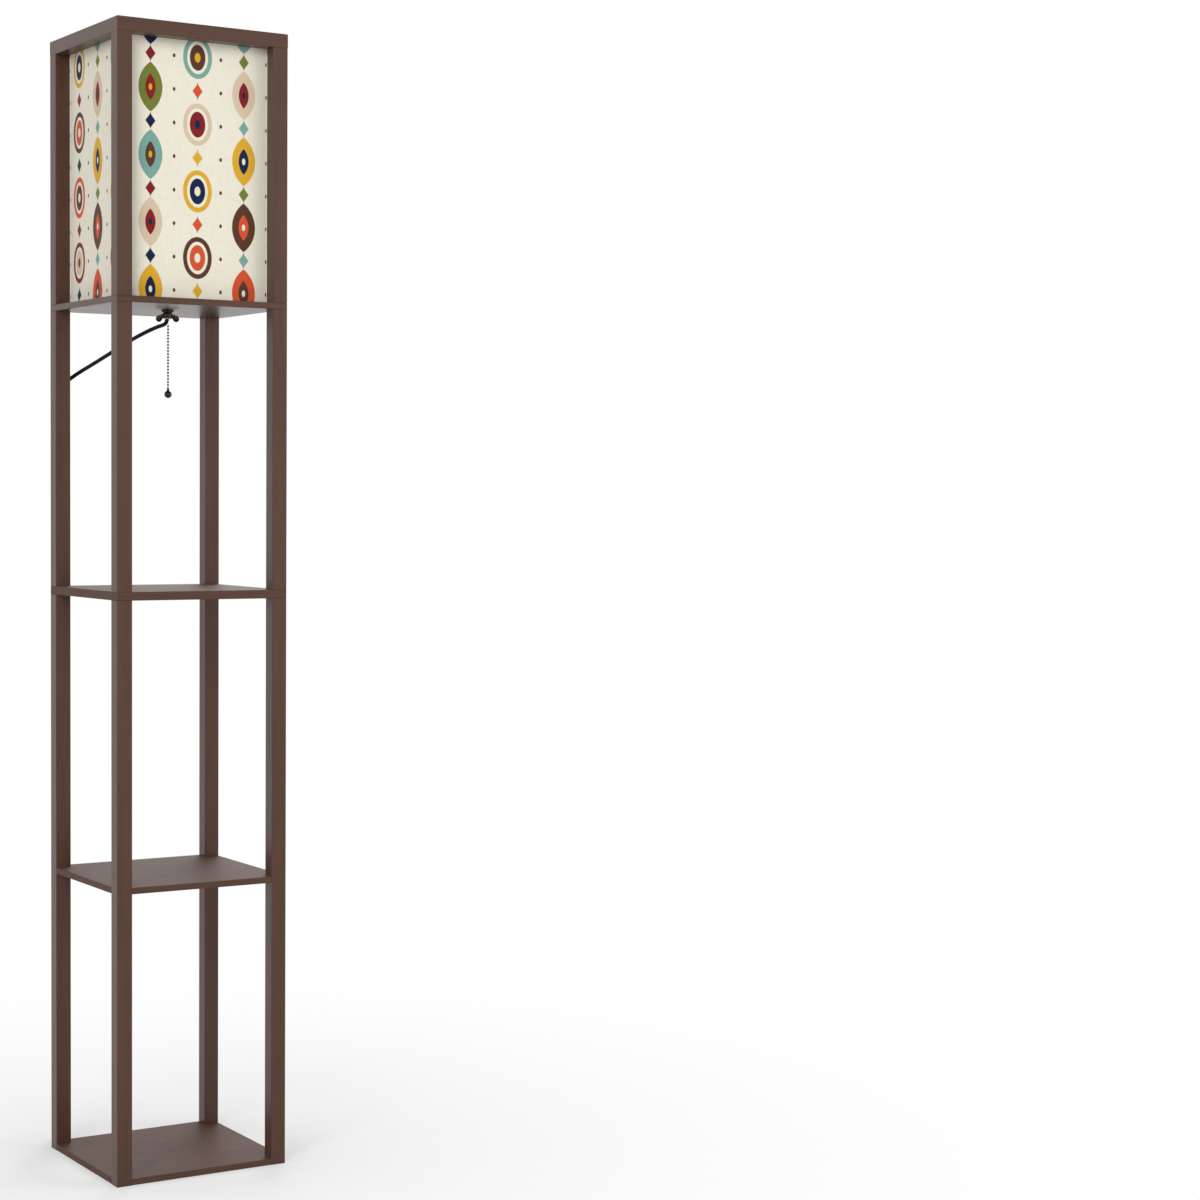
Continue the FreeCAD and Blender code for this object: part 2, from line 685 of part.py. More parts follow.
def swept(route, face, report=""):
    """A tube of straight runs and tangent arcs along a route, from a face at its first point."""
    pieces, length, here = [], 0.0, route[0]
    radii = []
    for before, corner, after in zip(route, route[1:], route[2:]):
        run_in, run_out = corner - before, after - corner
        reach = ROUND_SHARE * min(run_in.Length, run_out.Length)
        turn = run_in.getAngle(run_out)
        radius = reach / math.tan(turn / 2)
        heading = V(run_in).normalize()
        axis = run_in.cross(run_out).normalize()
        start = corner - heading * reach
        centre = start + axis.cross(heading) * radius
        pieces.append(face.extrude(start - here))
        face = face.translated(start - here)
        pieces.append(face.revolve(centre, axis, math.degrees(turn)))
        length += (start - here).Length + radius * turn
        face = face.rotated(centre, axis, math.degrees(turn))
        here = corner + V(run_out).normalize() * reach
        radii.append(round(radius, 1))
    pieces.append(face.extrude(route[-1] - here))
    length += (route[-1] - here).Length
    tube = joined(pieces)
    if report:
        share = tube.Volume / (face.Area * length)
        print(f"{report}: length {length:.1f} mm, volume {share:.5f} of section x length")
        print(f"{report}: arc radii {radii}")
    return tube


def power_cord():
    return swept(CORD, flat_section(CORD_WIDTH, CORD_THICK, CORD[0]), "cord")


def hank_frame(shape):
    """Turns a shape made in the hank's own plane, X along its depth, to where it stands."""
    shape.rotate(V(0, 0, 0), UP, HANK_HEADING)
    shape.translate(V(CORD[-1].x, CORD[-1].y, 0))
    return shape


def racetrack(margin, half_thick):
    """An upright slab with half-round ends about the hank's two sides."""
    middle = HANK_DEPTH / 2
    radius = middle + margin
    end = middle + HANK_BUNDLE / 2
    ends_z = (HANK_FOOT + end, HANK_TOP - end)
    y = (-half_thick, half_thick)
    pieces = [block((middle - radius, middle + radius), y, ends_z)]
    for height in ends_z:
        start = V(middle, -half_thick, height)
        pieces.append(Part.makeCylinder(radius, 2 * half_thick, start, ALONG_Y))
    return joined(pieces)


def cord_hank():
    """The outer shape of the spare cord, with the ends that come in and leave for the plug."""
    slab = racetrack(HANK_BUNDLE / 2, HANK_THICK / 2).cut(racetrack(-HANK_BUNDLE / 2, HANK_THICK))
    half = HANK_LEAD / 2
    leads = []
    for x in (0, HANK_DEPTH):
        top = (HANK_TOP - HANK_DEPTH / 2 - HANK_BUNDLE, CORD[-1].z)
        leads.append(block((x - half, x + half), (-half, half), top))
    return hank_frame(joined([slab, *leads]))


def hank_tie():
    """A strap round the waist of the hank."""
    z = (TIE_Z, TIE_Z + TIE_HEIGHT)
    inner = HANK_BUNDLE / 2 + TIE_GAP
    outer = inner + TIE
    thick = HANK_THICK / 2 + TIE_GAP
    strap = block((-outer, HANK_DEPTH + outer), (-thick - TIE, thick + TIE), z)
    return hank_frame(strap.cut(block((-inner, HANK_DEPTH + inner), (-thick, thick), z)))


def cord_clips():
    """Saddles on the back of the post that the cord runs down through."""
    x, back = CORD[-1].x, HALF_DEPTH
    clips = []
    for height in CLIP_HEIGHTS:
        z = (height - CLIP_HEIGHT / 2, height + CLIP_HEIGHT / 2)
        middle = back + CLIP_BASE + CLIP_BORE + SLIP
        base = block((x - CLIP_WIDTH / 2, x + CLIP_WIDTH / 2), (back, back + CLIP_BASE), z)
        outer = CLIP_BORE + CLIP_WALL
        arch = rod(outer, *z, x, middle).fuse(block((x - outer, x + outer), (back, middle), z))
        clips.append(joined([base, arch]).cut(rod(CLIP_BORE, *z, x, middle)))
    return group(clips)


def plug_body():
    """A moulded plug with its tapered strain relief."""
    low = CORD[-1].z
    shoulder = low + PLUG_RELIEF
    relief = Part.makeCone(HANK_LEAD / 2, PLUG_RELIEF_RADIUS, PLUG_RELIEF, V(HANK_DEPTH, 0, low))
    x = (HANK_DEPTH - PLUG_WIDTH / 2, HANK_DEPTH + PLUG_WIDTH / 2)
    grip = block(x, (-PLUG_THICK / 2, PLUG_THICK / 2), (shoulder, shoulder + PLUG_HEIGHT))
    grip = grip.makeFillet(PLUG_EDGE, edges_along(grip, UP))
    return hank_frame(joined([relief, grip]))


def plug_blades():
    low = CORD[-1].z + PLUG_RELIEF + PLUG_HEIGHT
    blades = []
    for side in (-1, 1):
        x = HANK_DEPTH + side * BLADE_SPACING / 2
        span_x = (x - BLADE_THICK / 2, x + BLADE_THICK / 2)
        span_y = (-BLADE_WIDTH / 2, BLADE_WIDTH / 2)
        blades.append(hank_frame(block(span_x, span_y, (low, low + BLADE_LENGTH))))
    return group(blades)


def frame_parts():
    parts = {}
    for corner, side in CORNERS.items():
        parts[f"lower_post_{corner}"] = lower_post(*side)
        parts[f"upper_post_{corner}"] = upper_post(*side)
        parts[f"shade_post_{corner}"] = shade_post(*side)
    for name, turn in {"front": 0, "right": 90, "back": 180, "left": 270}.items():
        parts[f"top_rail_{name}"] = top_rail(turn)
    parts["bottom_board"] = notched_board(0.0)
    parts["lower_shelf"] = notched_board(LOWER_SHELF_Z)
    parts["middle_shelf"] = studded_board(MIDDLE_SHELF_Z, MIDDLE_BOARD)
    parts["lamp_plate"] = lamp_plate()
    parts["shelf_pins"] = shelf_pins()
    parts["middle_shelf_studs"] = studs(MIDDLE_SHELF_Z, MIDDLE_BOARD)
    parts["lamp_plate_studs"] = studs(PLATE_Z, BOARD)
    parts["top_rail_dowels"] = rail_dowels()
    return parts


def shade_parts():
    parts = shade_panels()
    parts["shade_bottom_wire"] = wire_ring(PLATE_TOP + WIRE_RADIUS)
    parts["shade_top_wire"] = wire_ring(SHADE_TOP - WIRE_RADIUS)
    return parts


def holder_parts():
    return {
        "threaded_nipple": pipe(NIPPLE_RADIUS, NIPPLE_BORE, NIPPLE_Z, HOLDER_Z + NIPPLE_TOP),
        "plate_washer": pipe(
            TOP_WASHER_RADIUS, NIPPLE_RADIUS + THREAD_GAP, PLATE_TOP, PLATE_TOP + TOP_WASHER
        ),
        "lock_nut": lock_nut(),
        "clamp_washer": pipe(CLAMP_RADIUS, NIPPLE_RADIUS + THREAD_GAP, CLAMP_Z, PLATE_Z),
        "wing_nut": wing_nut(),
        "socket_cap": socket_cap(),
        "socket_shell": socket_shell(),
        "socket_liner": socket_liner(),
        "switch_block": switch_block(),
        "screw_shell": screw_shell(),
        "centre_contact": centre_contact(),
        "terminal_screws": terminal_screws(),
        "inner_wires": inner_wires(),
    }


def chain_parts():
    return {
        "pull_lever": pull_lever(),
        "chain_top_length": chain_top_length(),
        "chain_first_bead": chain_first_bead(),
        "pull_chain": pull_chain(),
        "chain_ball": chain_ball(),
    }


def bulb_parts():
    return {
        "bulb_glass": bulb_glass(),
        "bulb_cap": bulb_cap(),
        "bulb_insulator": bulb_insulator(),
        "bulb_contact": bulb_contact(),
        "bulb_stem": bulb_stem(),
        "bulb_filaments": bulb_filaments(),
    }


def cord_parts():
    return {
        "power_cord": power_cord(),
        "cord_hank": cord_hank(),
        "hank_tie": hank_tie(),
        "cord_clips": cord_clips(),
        "plug_body": plug_body(),
        "plug_blades": plug_blades(),
    }


def main():
    os.makedirs("parts", exist_ok=True)
    for parts in (frame_parts, shade_parts, holder_parts, chain_parts, bulb_parts, cord_parts):
        for name, shape in parts().items():
            save(name, shape)


main()
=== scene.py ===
import math
import random

import bmesh
import bpy
from mathutils import Matrix, Vector

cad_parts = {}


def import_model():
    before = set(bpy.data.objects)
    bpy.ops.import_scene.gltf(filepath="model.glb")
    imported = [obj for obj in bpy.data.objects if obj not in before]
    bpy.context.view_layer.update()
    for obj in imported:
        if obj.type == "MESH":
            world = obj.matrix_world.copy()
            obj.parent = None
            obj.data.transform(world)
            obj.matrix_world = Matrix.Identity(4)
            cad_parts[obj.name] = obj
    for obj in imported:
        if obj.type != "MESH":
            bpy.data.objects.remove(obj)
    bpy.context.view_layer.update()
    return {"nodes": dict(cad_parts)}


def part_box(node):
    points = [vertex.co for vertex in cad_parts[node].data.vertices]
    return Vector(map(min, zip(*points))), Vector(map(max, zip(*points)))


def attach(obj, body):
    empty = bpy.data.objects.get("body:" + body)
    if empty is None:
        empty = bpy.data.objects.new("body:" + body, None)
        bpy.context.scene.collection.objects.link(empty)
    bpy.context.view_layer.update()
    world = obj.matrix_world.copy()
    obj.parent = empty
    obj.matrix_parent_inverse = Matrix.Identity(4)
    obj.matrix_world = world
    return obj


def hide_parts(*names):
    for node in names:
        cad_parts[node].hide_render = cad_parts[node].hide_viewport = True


# Shelf floor lamp: lacquered frame, printed canvas shade, bead chain, lamp holder, bulb and cord.
# +Z is up and -Y is the front. Lengths are millimetres and are multiplied by MM where they reach
# Blender. Only the camera, the lights and the floor are in metres.

MM = 0.001
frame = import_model()
nodes = frame["nodes"]

# ---- the photograph's camera ----
CAMERA_PLACE = Vector((-1.444, -3.408, 0.959))
CAMERA_YAW = math.radians(32.596)  # from +Y towards +X
CAMERA_PITCH = math.radians(-2.383)
CAMERA_ROLL = math.radians(0.439)
CAMERA_LENS = 76.54
CAMERA_SENSOR = 36.0

# ---- light and floor ----
AMBIENT = 0.5  # strength of the light from all round
# Square area lights: name, place, what it points at, side and power.
SOFTBOXES = [
    ("key_softbox", (-2.4, -2.6, 2.6), (0, 0, 0.9), 1.6, 62),
    ("fill_softbox", (2.6, -2.4, 1.6), (0, 0, 0.9), 1.8, 30),
    ("back_softbox", (1.8, 2.6, 2.6), (0, 0, 1.0), 1.6, 32),
]
FLOOR_HALF = 6.0
FLOOR_DROP = 0.0005  # below the feet
FADE_START = 200  # millimetres from the middle, where the floor starts to turn white
FADE_LENGTH = 1100
FADE_FROM = 0.4  # share of white up to there

# ---- cord ----
CORD_WIDTH = 5.5  # flat twin cord
CORD_THICK = 2.8
CORD_VALLEY = 1.9  # thickness between its two conductors
VALLEY_SHARE = 0.3  # of a conductor's radius, from its middle to where the valley starts
CORD_AROUND = 24
CORD_STEP = 1.6  # between the rings of its mesh
CORD_ROUTE = [
    (0, 1.5, 1207), (0, 1.5, 1202), (-1.1, 3.1, 1197.4), (-3.2, 6.1, 1195.0),
    (-8, 12.8, 1193.0), (-17.6, 27, 1187.2), (-34, 49, 1175.0), (-53.5, 74, 1157.6),
    (-72.5, 100.5, 1140.5), (-89.5, 123.5, 1126), (-101, 136.5, 1114), (-110, 139.8, 1098),
    (-114.4, 137.6, 1078), (-115.4, 134.6, 1046), (-115, 133.1, 985),
    (-114.4, 132.7, 915), (-115.1, 133.5, 838),
    (-115.8, 133.2, 762), (-115.2, 132.6, 690), (-114.5, 133.1, 620), (-114.9, 133.8, 545),
    (-115.7, 133.3, 470), (-115.4, 132.6, 395), (-114.8, 132.7, 328), (-114.7, 133.3, 266),
    (-115, 135.5, 197), (-115, 135.5, 128),
]
# Turn of the cord's wide side about its own line: (metres along the cord, degrees).
CORD_TWIST = [
    (0, -10), (0.006, -5), (0.022, 52), (0.06, 38), (0.17, 34), (0.23, 0), (0.5, 30), (0.8, -25),
    (1.05, 20), (1.19, 0), (2.0, 0),
]

# ---- hank of spare cord, upright behind the back left post ----
HANK_HEADING = math.radians(68.5)  # from +X, the way from its near side to its far side
HANK_FOOT = (-115, 135.5)  # under its near side
HANK_DEPTH = 32.0
HANK_LOW = 20.5  # middle of its lower folds
HANK_HIGH = 101.5  # middle of its upper folds
HANK_TOP = 128.0  # where the plug's strain relief starts
HANK_WANDER = 0.25  # how far a pass strays to each side
LAYER = 1.6  # a pass lies this far inside or outside the middle of its side
COLUMN = 2.85  # and this far to one side
FOLD_POINTS = 7
PASS_HEIGHTS = [HANK_HIGH - 4, HANK_HIGH - 26, HANK_LOW + 28, HANK_LOW + 5]  # downwards
# The passes down and up in turn: (side, layer outwards, column).
HANK_PASSES = [(0, 1, 0), (1, -1, -1), (0, -1, -1), (1, -1, 1), (0, -1, 1), (1, 1, 0)]
STRAP_HALF = (HANK_DEPTH / 2 + 4.0, 6.5)
STRAP_THICK = 0.7
STRAP_BEVEL = 0.3

# ---- plug: pairs are half width and half thickness, shares are of its length from the cord ----
RELIEF = (3.3, 2.6)  # strain relief where the cord goes in
RELIEF_GAIN = (4.0, 3.75)  # what it would gain over the whole length
RIBS_END = 0.36
RIB_DEPTH = 0.45
RIB_PITCH = 3.2
GRIP = (11.8, 7.3)
GRIP_START = 0.3
GRIP_RISE = 0.22
WAIST_START = 0.5
WAIST_DEPTH = 0.12
END_START = 0.97
END_INSET = 0.8

# ---- shade ----
CANVAS = 1.6  # from its face to the film behind it, which touches the wires
PRESSED = 0.4  # how far the cloth stands out of its plain sheet, up to the posts
END_REACH = 0.4  # how much wider than its plain sheet a panel is at each end
HEM_SWELL = 0.6  # how far the lower hem stands out
HEM_EDGE = 8.0  # height over which it does
HEM_STEP = 1.5  # height over which it goes back
SLACK = 0.15  # the cloth's ripple between its edges
CANVAS_CELL = 3.0  # of its mesh

# ---- print on the shade: half-drop columns of nested ovals and of almonds, in turn ----
COLUMN_PITCH = 69.7
ROW_PITCH = 92.0
PRINT_SHIFT = COLUMN_PITCH / 2  # puts a column on the middle of each panel
PRINT_LIFT = 40.0
OVAL = (21.5, 29.0)  # half width and half height, as in the next lines
OVAL_GAP = (15.5, 22.4)
OVAL_HEART = (11.6, 17.8)
OVAL_DOT = (4.4, 6.6)
ALMOND = (17.5, 34.0)
ALMOND_HEART = (7.6, 18.0)
ALMOND_DOT = (2.6, 4.6)
LOZENGE = (7.5, 10.0)
SPOT = (2.0, 2.8)  # small spots between the columns
STEM = 0.55  # half width
STEM_GAP = 1.0  # from a stem's end to an almond's tip
PRINT_BLUR = 0.35
THREAD = 0.95  # pitch of the weave

# ---- bead chain and its ball ----
BEAD_RADIUS = 1.5
BEAD_PITCH = 4.4
LINK_RADIUS = 0.26
COLLAR_RADIUS = LINK_RADIUS * 1.7
COLLAR_FOOT = BEAD_RADIUS * 0.93
COLLAR_END = BEAD_RADIUS + 0.12
BALL_RINGS = 30
SEAM_DEPTH = 0.12
SEAM_RINGS = 0.6
CUP_START = 2.4  # the ball's radius where the cup begins

# ---- wing nut ----
HUB_RADIUS = 6.4
HUB_BORE = 5.1
HUB_HEIGHT = 8.4
WING_REACH = 16.5
WING_WIDTH = 9.0
WING_ROOT = 5.6
WING_THICK = 1.8
WING_DROOP = math.radians(34)
WING_DROP = 0.75  # from the top of the hub to a wing's middle line, at the axis
WING_INSET = 6.0  # from the axis to where a wing leaves the hub's wall
WING_HEADING = math.radians(-20)
WING_RINGS = 26
WING_LEVELS = 14
# Thickness of a wing, as a share, against millimetres from its outline: a rim round a hollow.
WING_RIM = [(0, 0), (0.15, 0.6), (0.45, 1), (1.2, 1), (2.0, 0.5), (9, 0.5)]

# ---- nipple, lamp holder and bulb ----
NIPPLE_BORE = 4.0
NIPPLE_STEP = 0.12  # between the rings of its mesh
NIPPLE_PITCH = 0.94
NIPPLE_DEPTH = 0.35
NIPPLE_BEVEL = 0.45
HOLDER_SHEET = 0.8
HOLDER_NECK = 6.6  # radius
HOLDER_GROOVES = (8.0, 12.0)  # heights of the shell's two raised rings
RING_HEIGHT = 2.4
RING_SWELL = 0.35
SCREW_SHEET = 0.35
SCREW_PITCH = 3.6
SCREW_STEP = 0.45
SCREW_PLAIN = 1.2  # without thread at each end
BULB_NECK = 12.3  # radius
BULB_WALL = 0.9
BULB_SHOULDER = math.radians(20)  # below the globe's middle, where the neck's cone meets it


# ======== small tools ========

def smooth(t):
    t = min(max(t, 0.0), 1.0)
    return t * t * (3 - 2 * t)


def between(table, at):
    """A value from a table of (place, value), eased between its rows."""
    for (low, first), (high, last) in zip(table, table[1:]):
        if at <= high:
            return first + (last - first) * smooth((at - low) / (high - low))
    return table[-1][1]


def arc(centre, radius, start, end, steps):
    """Points on an arc in (reach, height), between two angles above the level."""
    angles = [start + (end - start) * k / steps for k in range(steps + 1)]
    return [(centre[0] + radius * math.cos(a), centre[1] + radius * math.sin(a)) for a in angles]


def squared_oval(wide, thick, power, around):
    """Points round an oval. Its sides are straighter the smaller the power."""
    points = []
    for k in range(around):
        angle = 2 * math.pi * k / around
        c, s = math.cos(angle), math.sin(angle)
        x, y = math.copysign(abs(c) ** power, c), math.copysign(abs(s) ** power, s)
        points.append((wide * x, thick * y))
    return points


def add_mesh(name, points, faces, materials, slots=None, sharp=35):
    """A mesh object from points in millimetres, smooth but for its sharp edges."""
    mesh = bpy.data.meshes.new(name)
    mesh.from_pydata([Vector(p) * MM for p in points], [], faces)
    for material in materials:
        mesh.materials.append(material)
    if slots:
        mesh.polygons.foreach_set("material_index", slots)
    shape = bmesh.new()
    shape.from_mesh(mesh)
    bmesh.ops.remove_doubles(shape, verts=shape.verts, dist=1e-6)
    bmesh.ops.recalc_face_normals(shape, faces=shape.faces)
    shape.to_mesh(mesh)
    shape.free()
    mesh.shade_smooth()
    mesh.set_sharp_from_angle(angle=math.radians(sharp))
    piece = bpy.data.objects.new(name, mesh)
    bpy.context.collection.objects.link(piece)
    return piece


def ring_faces(rings, around, close_rings=False):
    """Quads between rings of points, each with the same number of points around."""
    faces = []
    for ring in range(rings if close_rings else rings - 1):
        here, there = ring * around, (ring + 1) % rings * around
        for k in range(around):
            after = (k + 1) % around
            faces.append((here + k, here + after, there + after, there + k))
    return faces


def capped_faces(rings, around):
    """Quads between rings of points, and a flat face at each end."""
    first, last = range(around), range((rings - 1) * around, rings * around)
    return [*ring_faces(rings, around), tuple(first), tuple(reversed(last))]


def rounded(profile, radius, steps=4):
    """A closed outline of (radius, height) points with its corners rounded."""
    out = []
    count = len(profile)
    for k in range(count):
        before, corner, after = (Vector(profile[(k + step) % count]) for step in (-1, 0, 1))
        way_in, way_out = corner - before, after - corner
        reach = min(radius, 0.45 * way_in.length, 0.45 * way_out.length)
        if corner.x == 0 or way_in.angle(way_out) < math.radians(8):
            out.append(tuple(corner))
            continue
        start, end = corner - way_in.normalized() * reach, corner + way_out.normalized() * reach
        for step in range(steps + 1):
            t = step / steps
            out.append(tuple(start * (1 - t) ** 2 + corner * 2 * t * (1 - t) + end * t ** 2))
    return out


def lathe(name, profile, material, centre=(0, 0), around=64, thread=None, sharp=35):
    """A closed turned piece from (radius, height) points. A thread is (pitch, depth, low, high)."""
    points = []
    for radius, height in profile:
        for k in range(around):
            turn = 2 * math.pi * k / around
            here = radius
            if thread and thread[2] < height < thread[3] and radius > 0:
                wave = math.cos(2 * math.pi * height / thread[0] - turn)
                here = radius - thread[1] * (0.5 - 0.5 * wave)
            x, y = centre[0] + here * math.cos(turn), centre[1] + here * math.sin(turn)
            points.append((x, y, height))
    faces = ring_faces(len(profile), around, True)
    return add_mesh(name, points, faces, [material], sharp=sharp)


def stand_for(piece, body, slot, *replaced):
    """Puts a piece in the place of CAD nodes."""
    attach(piece, body)
    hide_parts(*replaced)
    return piece


def spans(node):
    """A CAD node's lowest and highest corner in millimetres."""
    low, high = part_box(node)
    return low / MM, high / MM


def turned(node):
    """The foot, top, radius and centre of a CAD node that is round about an upright line."""
    low, high = spans(node)
    centre = ((low.x + high.x) / 2, (low.y + high.y) / 2)
    return low.z, high.z, (high.x - low.x) / 2, centre


# ======== materials ========

def linear(red, green, blue):
    """A colour of a screen, 0 to 255, as Blender's own."""
    parts = []
    for part in (red, green, blue):
        share = part / 255
        parts.append(share / 12.92 if share <= 0.04045 else ((share + 0.055) / 1.055) ** 2.4)
    return (*parts, 1)


WHITE = (1, 1, 1, 1)


class Number:
    """A number inside a material. Sums with it add nodes."""

    def __init__(self, graph, socket):
        self.graph, self.socket = graph, socket

    def math(self, operation, *others, clamp=False):
        return self.graph.math(operation, self, *others, clamp=clamp)

    def __add__(self, other):
        return self.math("ADD", other)

    def __sub__(self, other):
        return self.math("SUBTRACT", other)

    def __mul__(self, other):
        return self.math("MULTIPLY", other)

    def __truediv__(self, other):
        return self.math("DIVIDE", other)

    def floor(self):
        return self.math("FLOOR")

    def size(self):
        return self.math("ABSOLUTE")

    def sine(self):
        return self.math("SINE")

    def squared(self):
        return self.math("POWER", 2)

    def root(self):
        return self.math("SQRT")

    def clamped(self):
        return self.math("ADD", 0, clamp=True)

    def below(self, other, soft):
        """1 under a limit and 0 over it, with a soft step."""
        return ((self.graph.number(other) - self) / soft + 0.5).clamped()


class Graph:
    """The nodes of a material, or of the world, while they are made."""

    def __init__(self, name, owner=None):
        self.owner = owner or bpy.data.materials.new(name)
        self.owner.use_nodes = True
        self.tree = self.owner.node_tree
        self.tree.nodes.clear()
        self.place = self.node("ShaderNodeTexCoord").outputs["Object"]
        self.place = self.stretched((1 / MM,) * 3)
        split = self.node("ShaderNodeSeparateXYZ", {0: self.place})
        self.x, self.y, self.z = (Number(self, split.outputs[k]) for k in range(3))

    def node(self, kind, inputs=None, **settings):
        made = self.tree.nodes.new(kind)
        for name, value in settings.items():
            setattr(made, name, value)
        for name, value in (inputs or {}).items():
            self.put(made.inputs[name], value)
        return made

    def put(self, socket, value):
        if isinstance(value, Number):
            value = value.socket
        if isinstance(value, bpy.types.NodeSocket):
            self.tree.links.new(value, socket)
        else:
            socket.default_value = value

    def number(self, value):
        made = self.node("ShaderNodeValue")
        made.outputs[0].default_value = value
        return Number(self, made.outputs[0])

    def math(self, operation, *values, clamp=False):
        inputs = dict(enumerate(values))
        made = self.node("ShaderNodeMath", inputs, operation=operation, use_clamp=clamp)
        return Number(self, made.outputs[0])

    def stretched(self, scale):
        """The place in millimetres, with each axis scaled."""
        inputs = {0: self.place, 1: scale}
        return self.node("ShaderNodeVectorMath", inputs, operation="MULTIPLY").outputs[0]

    def noise(self, place, scale=1.0, detail=3.0, roughness=0.5):
        inputs = {"Vector": place, "Scale": scale, "Detail": detail, "Roughness": roughness}
        return Number(self, self.node("ShaderNodeTexNoise", inputs).outputs["Fac"])

    def ramp(self, share, stops, constant=False):
        made = self.node("ShaderNodeValToRGB", {0: share})
        ramp = made.color_ramp
        ramp.interpolation = "CONSTANT" if constant else "EASE"
        while len(ramp.elements) < len(stops):
            ramp.elements.new(1)
        for element, (place, colour) in zip(ramp.elements, stops):
            element.position = place
            element.color = colour
        return made.outputs[0]

    def mix(self, share, first, last):
        made = self.node("ShaderNodeMix", data_type="RGBA")
        self.put(made.inputs[0], share)
        self.put(made.inputs[6], first)
        self.put(made.inputs[7], last)
        return made.outputs[2]

    def darker(self, colour, share):
        """A colour multiplied by a number."""
        inputs = {0: colour, "Scale": share}
        return self.node("ShaderNodeVectorMath", inputs, operation="SCALE").outputs[0]

    def bump(self, height, depth):
        """A relief of that depth in millimetres, where height goes from 0 to 1."""
        made = self.node("ShaderNodeBump", {"Height": height, "Distance": depth * MM})
        return made.outputs["Normal"]

    def end_in(self, shader, kind="ShaderNodeOutputMaterial"):
        """Joins a shader to the output."""
        self.tree.links.new(shader.outputs[0], self.node(kind).inputs["Surface"])
        return self.owner

    def finish(self, **inputs):
        """Ends in a Principled shader. Names are its inputs, with _ for a space."""
        shader = self.node("ShaderNodeBsdfPrincipled")
        for name, value in inputs.items():
            self.put(shader.inputs[name.replace("_", " ")], value)
        return self.end_in(shader)


def lacquer(name, along, roughness=0.27):
    """Espresso-brown lacquer over close-grained wood, the grain along one axis."""
    graph = Graph(name)
    fine, long = [0.55] * 3, [0.09] * 3
    fine[along], long[along] = 0.012, 0.004
    grain = graph.noise(graph.stretched(fine), detail=5, roughness=0.6)
    figure = graph.noise(graph.stretched(long), detail=2)
    cloud = graph.noise(graph.place, scale=0.012, detail=2)
    brown = graph.ramp(grain * 0.5 + figure * 0.5, [
        (0.3, linear(73, 49, 40)),
        (0.5, linear(80, 55, 45)),
        (0.7, linear(87, 60, 49)),
    ])
    return graph.finish(
        Base_Color=graph.darker(brown, cloud * 0.24 + 0.88),
        Roughness=graph.noise(graph.place, scale=0.05, detail=4) * 0.1 + roughness,
        Normal=graph.bump(grain * 0.6 + figure * 0.4, 0.012),
        Specular_IOR_Level=0.3,
        # The warm specular tint on every reflection of the lacquer is a painted reflection of warm
        # surroundings.
        Specular_Tint=(1, 0.9, 0.84, 1),
    )


def raw_wood():
    """Wood without lacquer, as on the hidden pins and dowels."""
    graph = Graph("raw_wood")
    grain = graph.noise(graph.stretched((0.2, 0.9, 0.9)), detail=4)
    tan = graph.ramp(grain, [(0.3, linear(186, 142, 96)), (0.7, linear(214, 176, 130))])
    return graph.finish(Base_Color=tan, Roughness=0.7, Normal=graph.bump(grain, 0.1))


PALETTE = {
    "teal": linear(122, 168, 156),
    "burgundy": linear(130, 22, 26),
    "olive": linear(115, 124, 48),
    "brown": linear(88, 52, 34),
    "orange": linear(214, 82, 44),
    "navy": linear(0, 28, 66),
    "mustard": linear(222, 170, 42),
    "tan": linear(217, 196, 168),
    "cream": linear(236, 229, 208),
    "black": linear(28, 24, 22),
}
# The colours of an oval or almond from its outline to its middle, and those of the lozenges.
TRIOS = [
    ("teal", "brown", "mustard"), ("burgundy", "tan", "burgundy"), ("mustard", "navy", "cream"),
    ("olive", "burgundy", "mustard"), ("orange", "brown", "cream"), ("tan", "burgundy", "navy"),
    ("navy", "teal", "mustard"), ("brown", "orange", "cream"),
]
SMALLS = ["orange", "navy", "olive", "mustard", "burgundy", "teal"]


def colour_of(graph, column, row, names):
    """One of some palette colours for each place in the print, all in turn."""
    share = ((row * 3 + column * 5) / len(names)).math("FRACT") + 0.5 / len(names)
    stops = [(k / len(names), PALETTE[name]) for k, name in enumerate(names)]
    return graph.ramp(share, stops, constant=True)


def oval(x, y, half):
    """Roughly the distance outside an oval."""
    share = ((x / half[0]).squared() + (y / half[1]).squared()).root()
    return share * half[0] - half[0]


def almond(x, y, half):
    """The distance outside a shape between two arcs."""
    radius = (half[0] ** 2 + half[1] ** 2) / (2 * half[0])
    aside = (x.size() + radius - half[0]).squared()
    return (aside + y.squared()).root() - radius


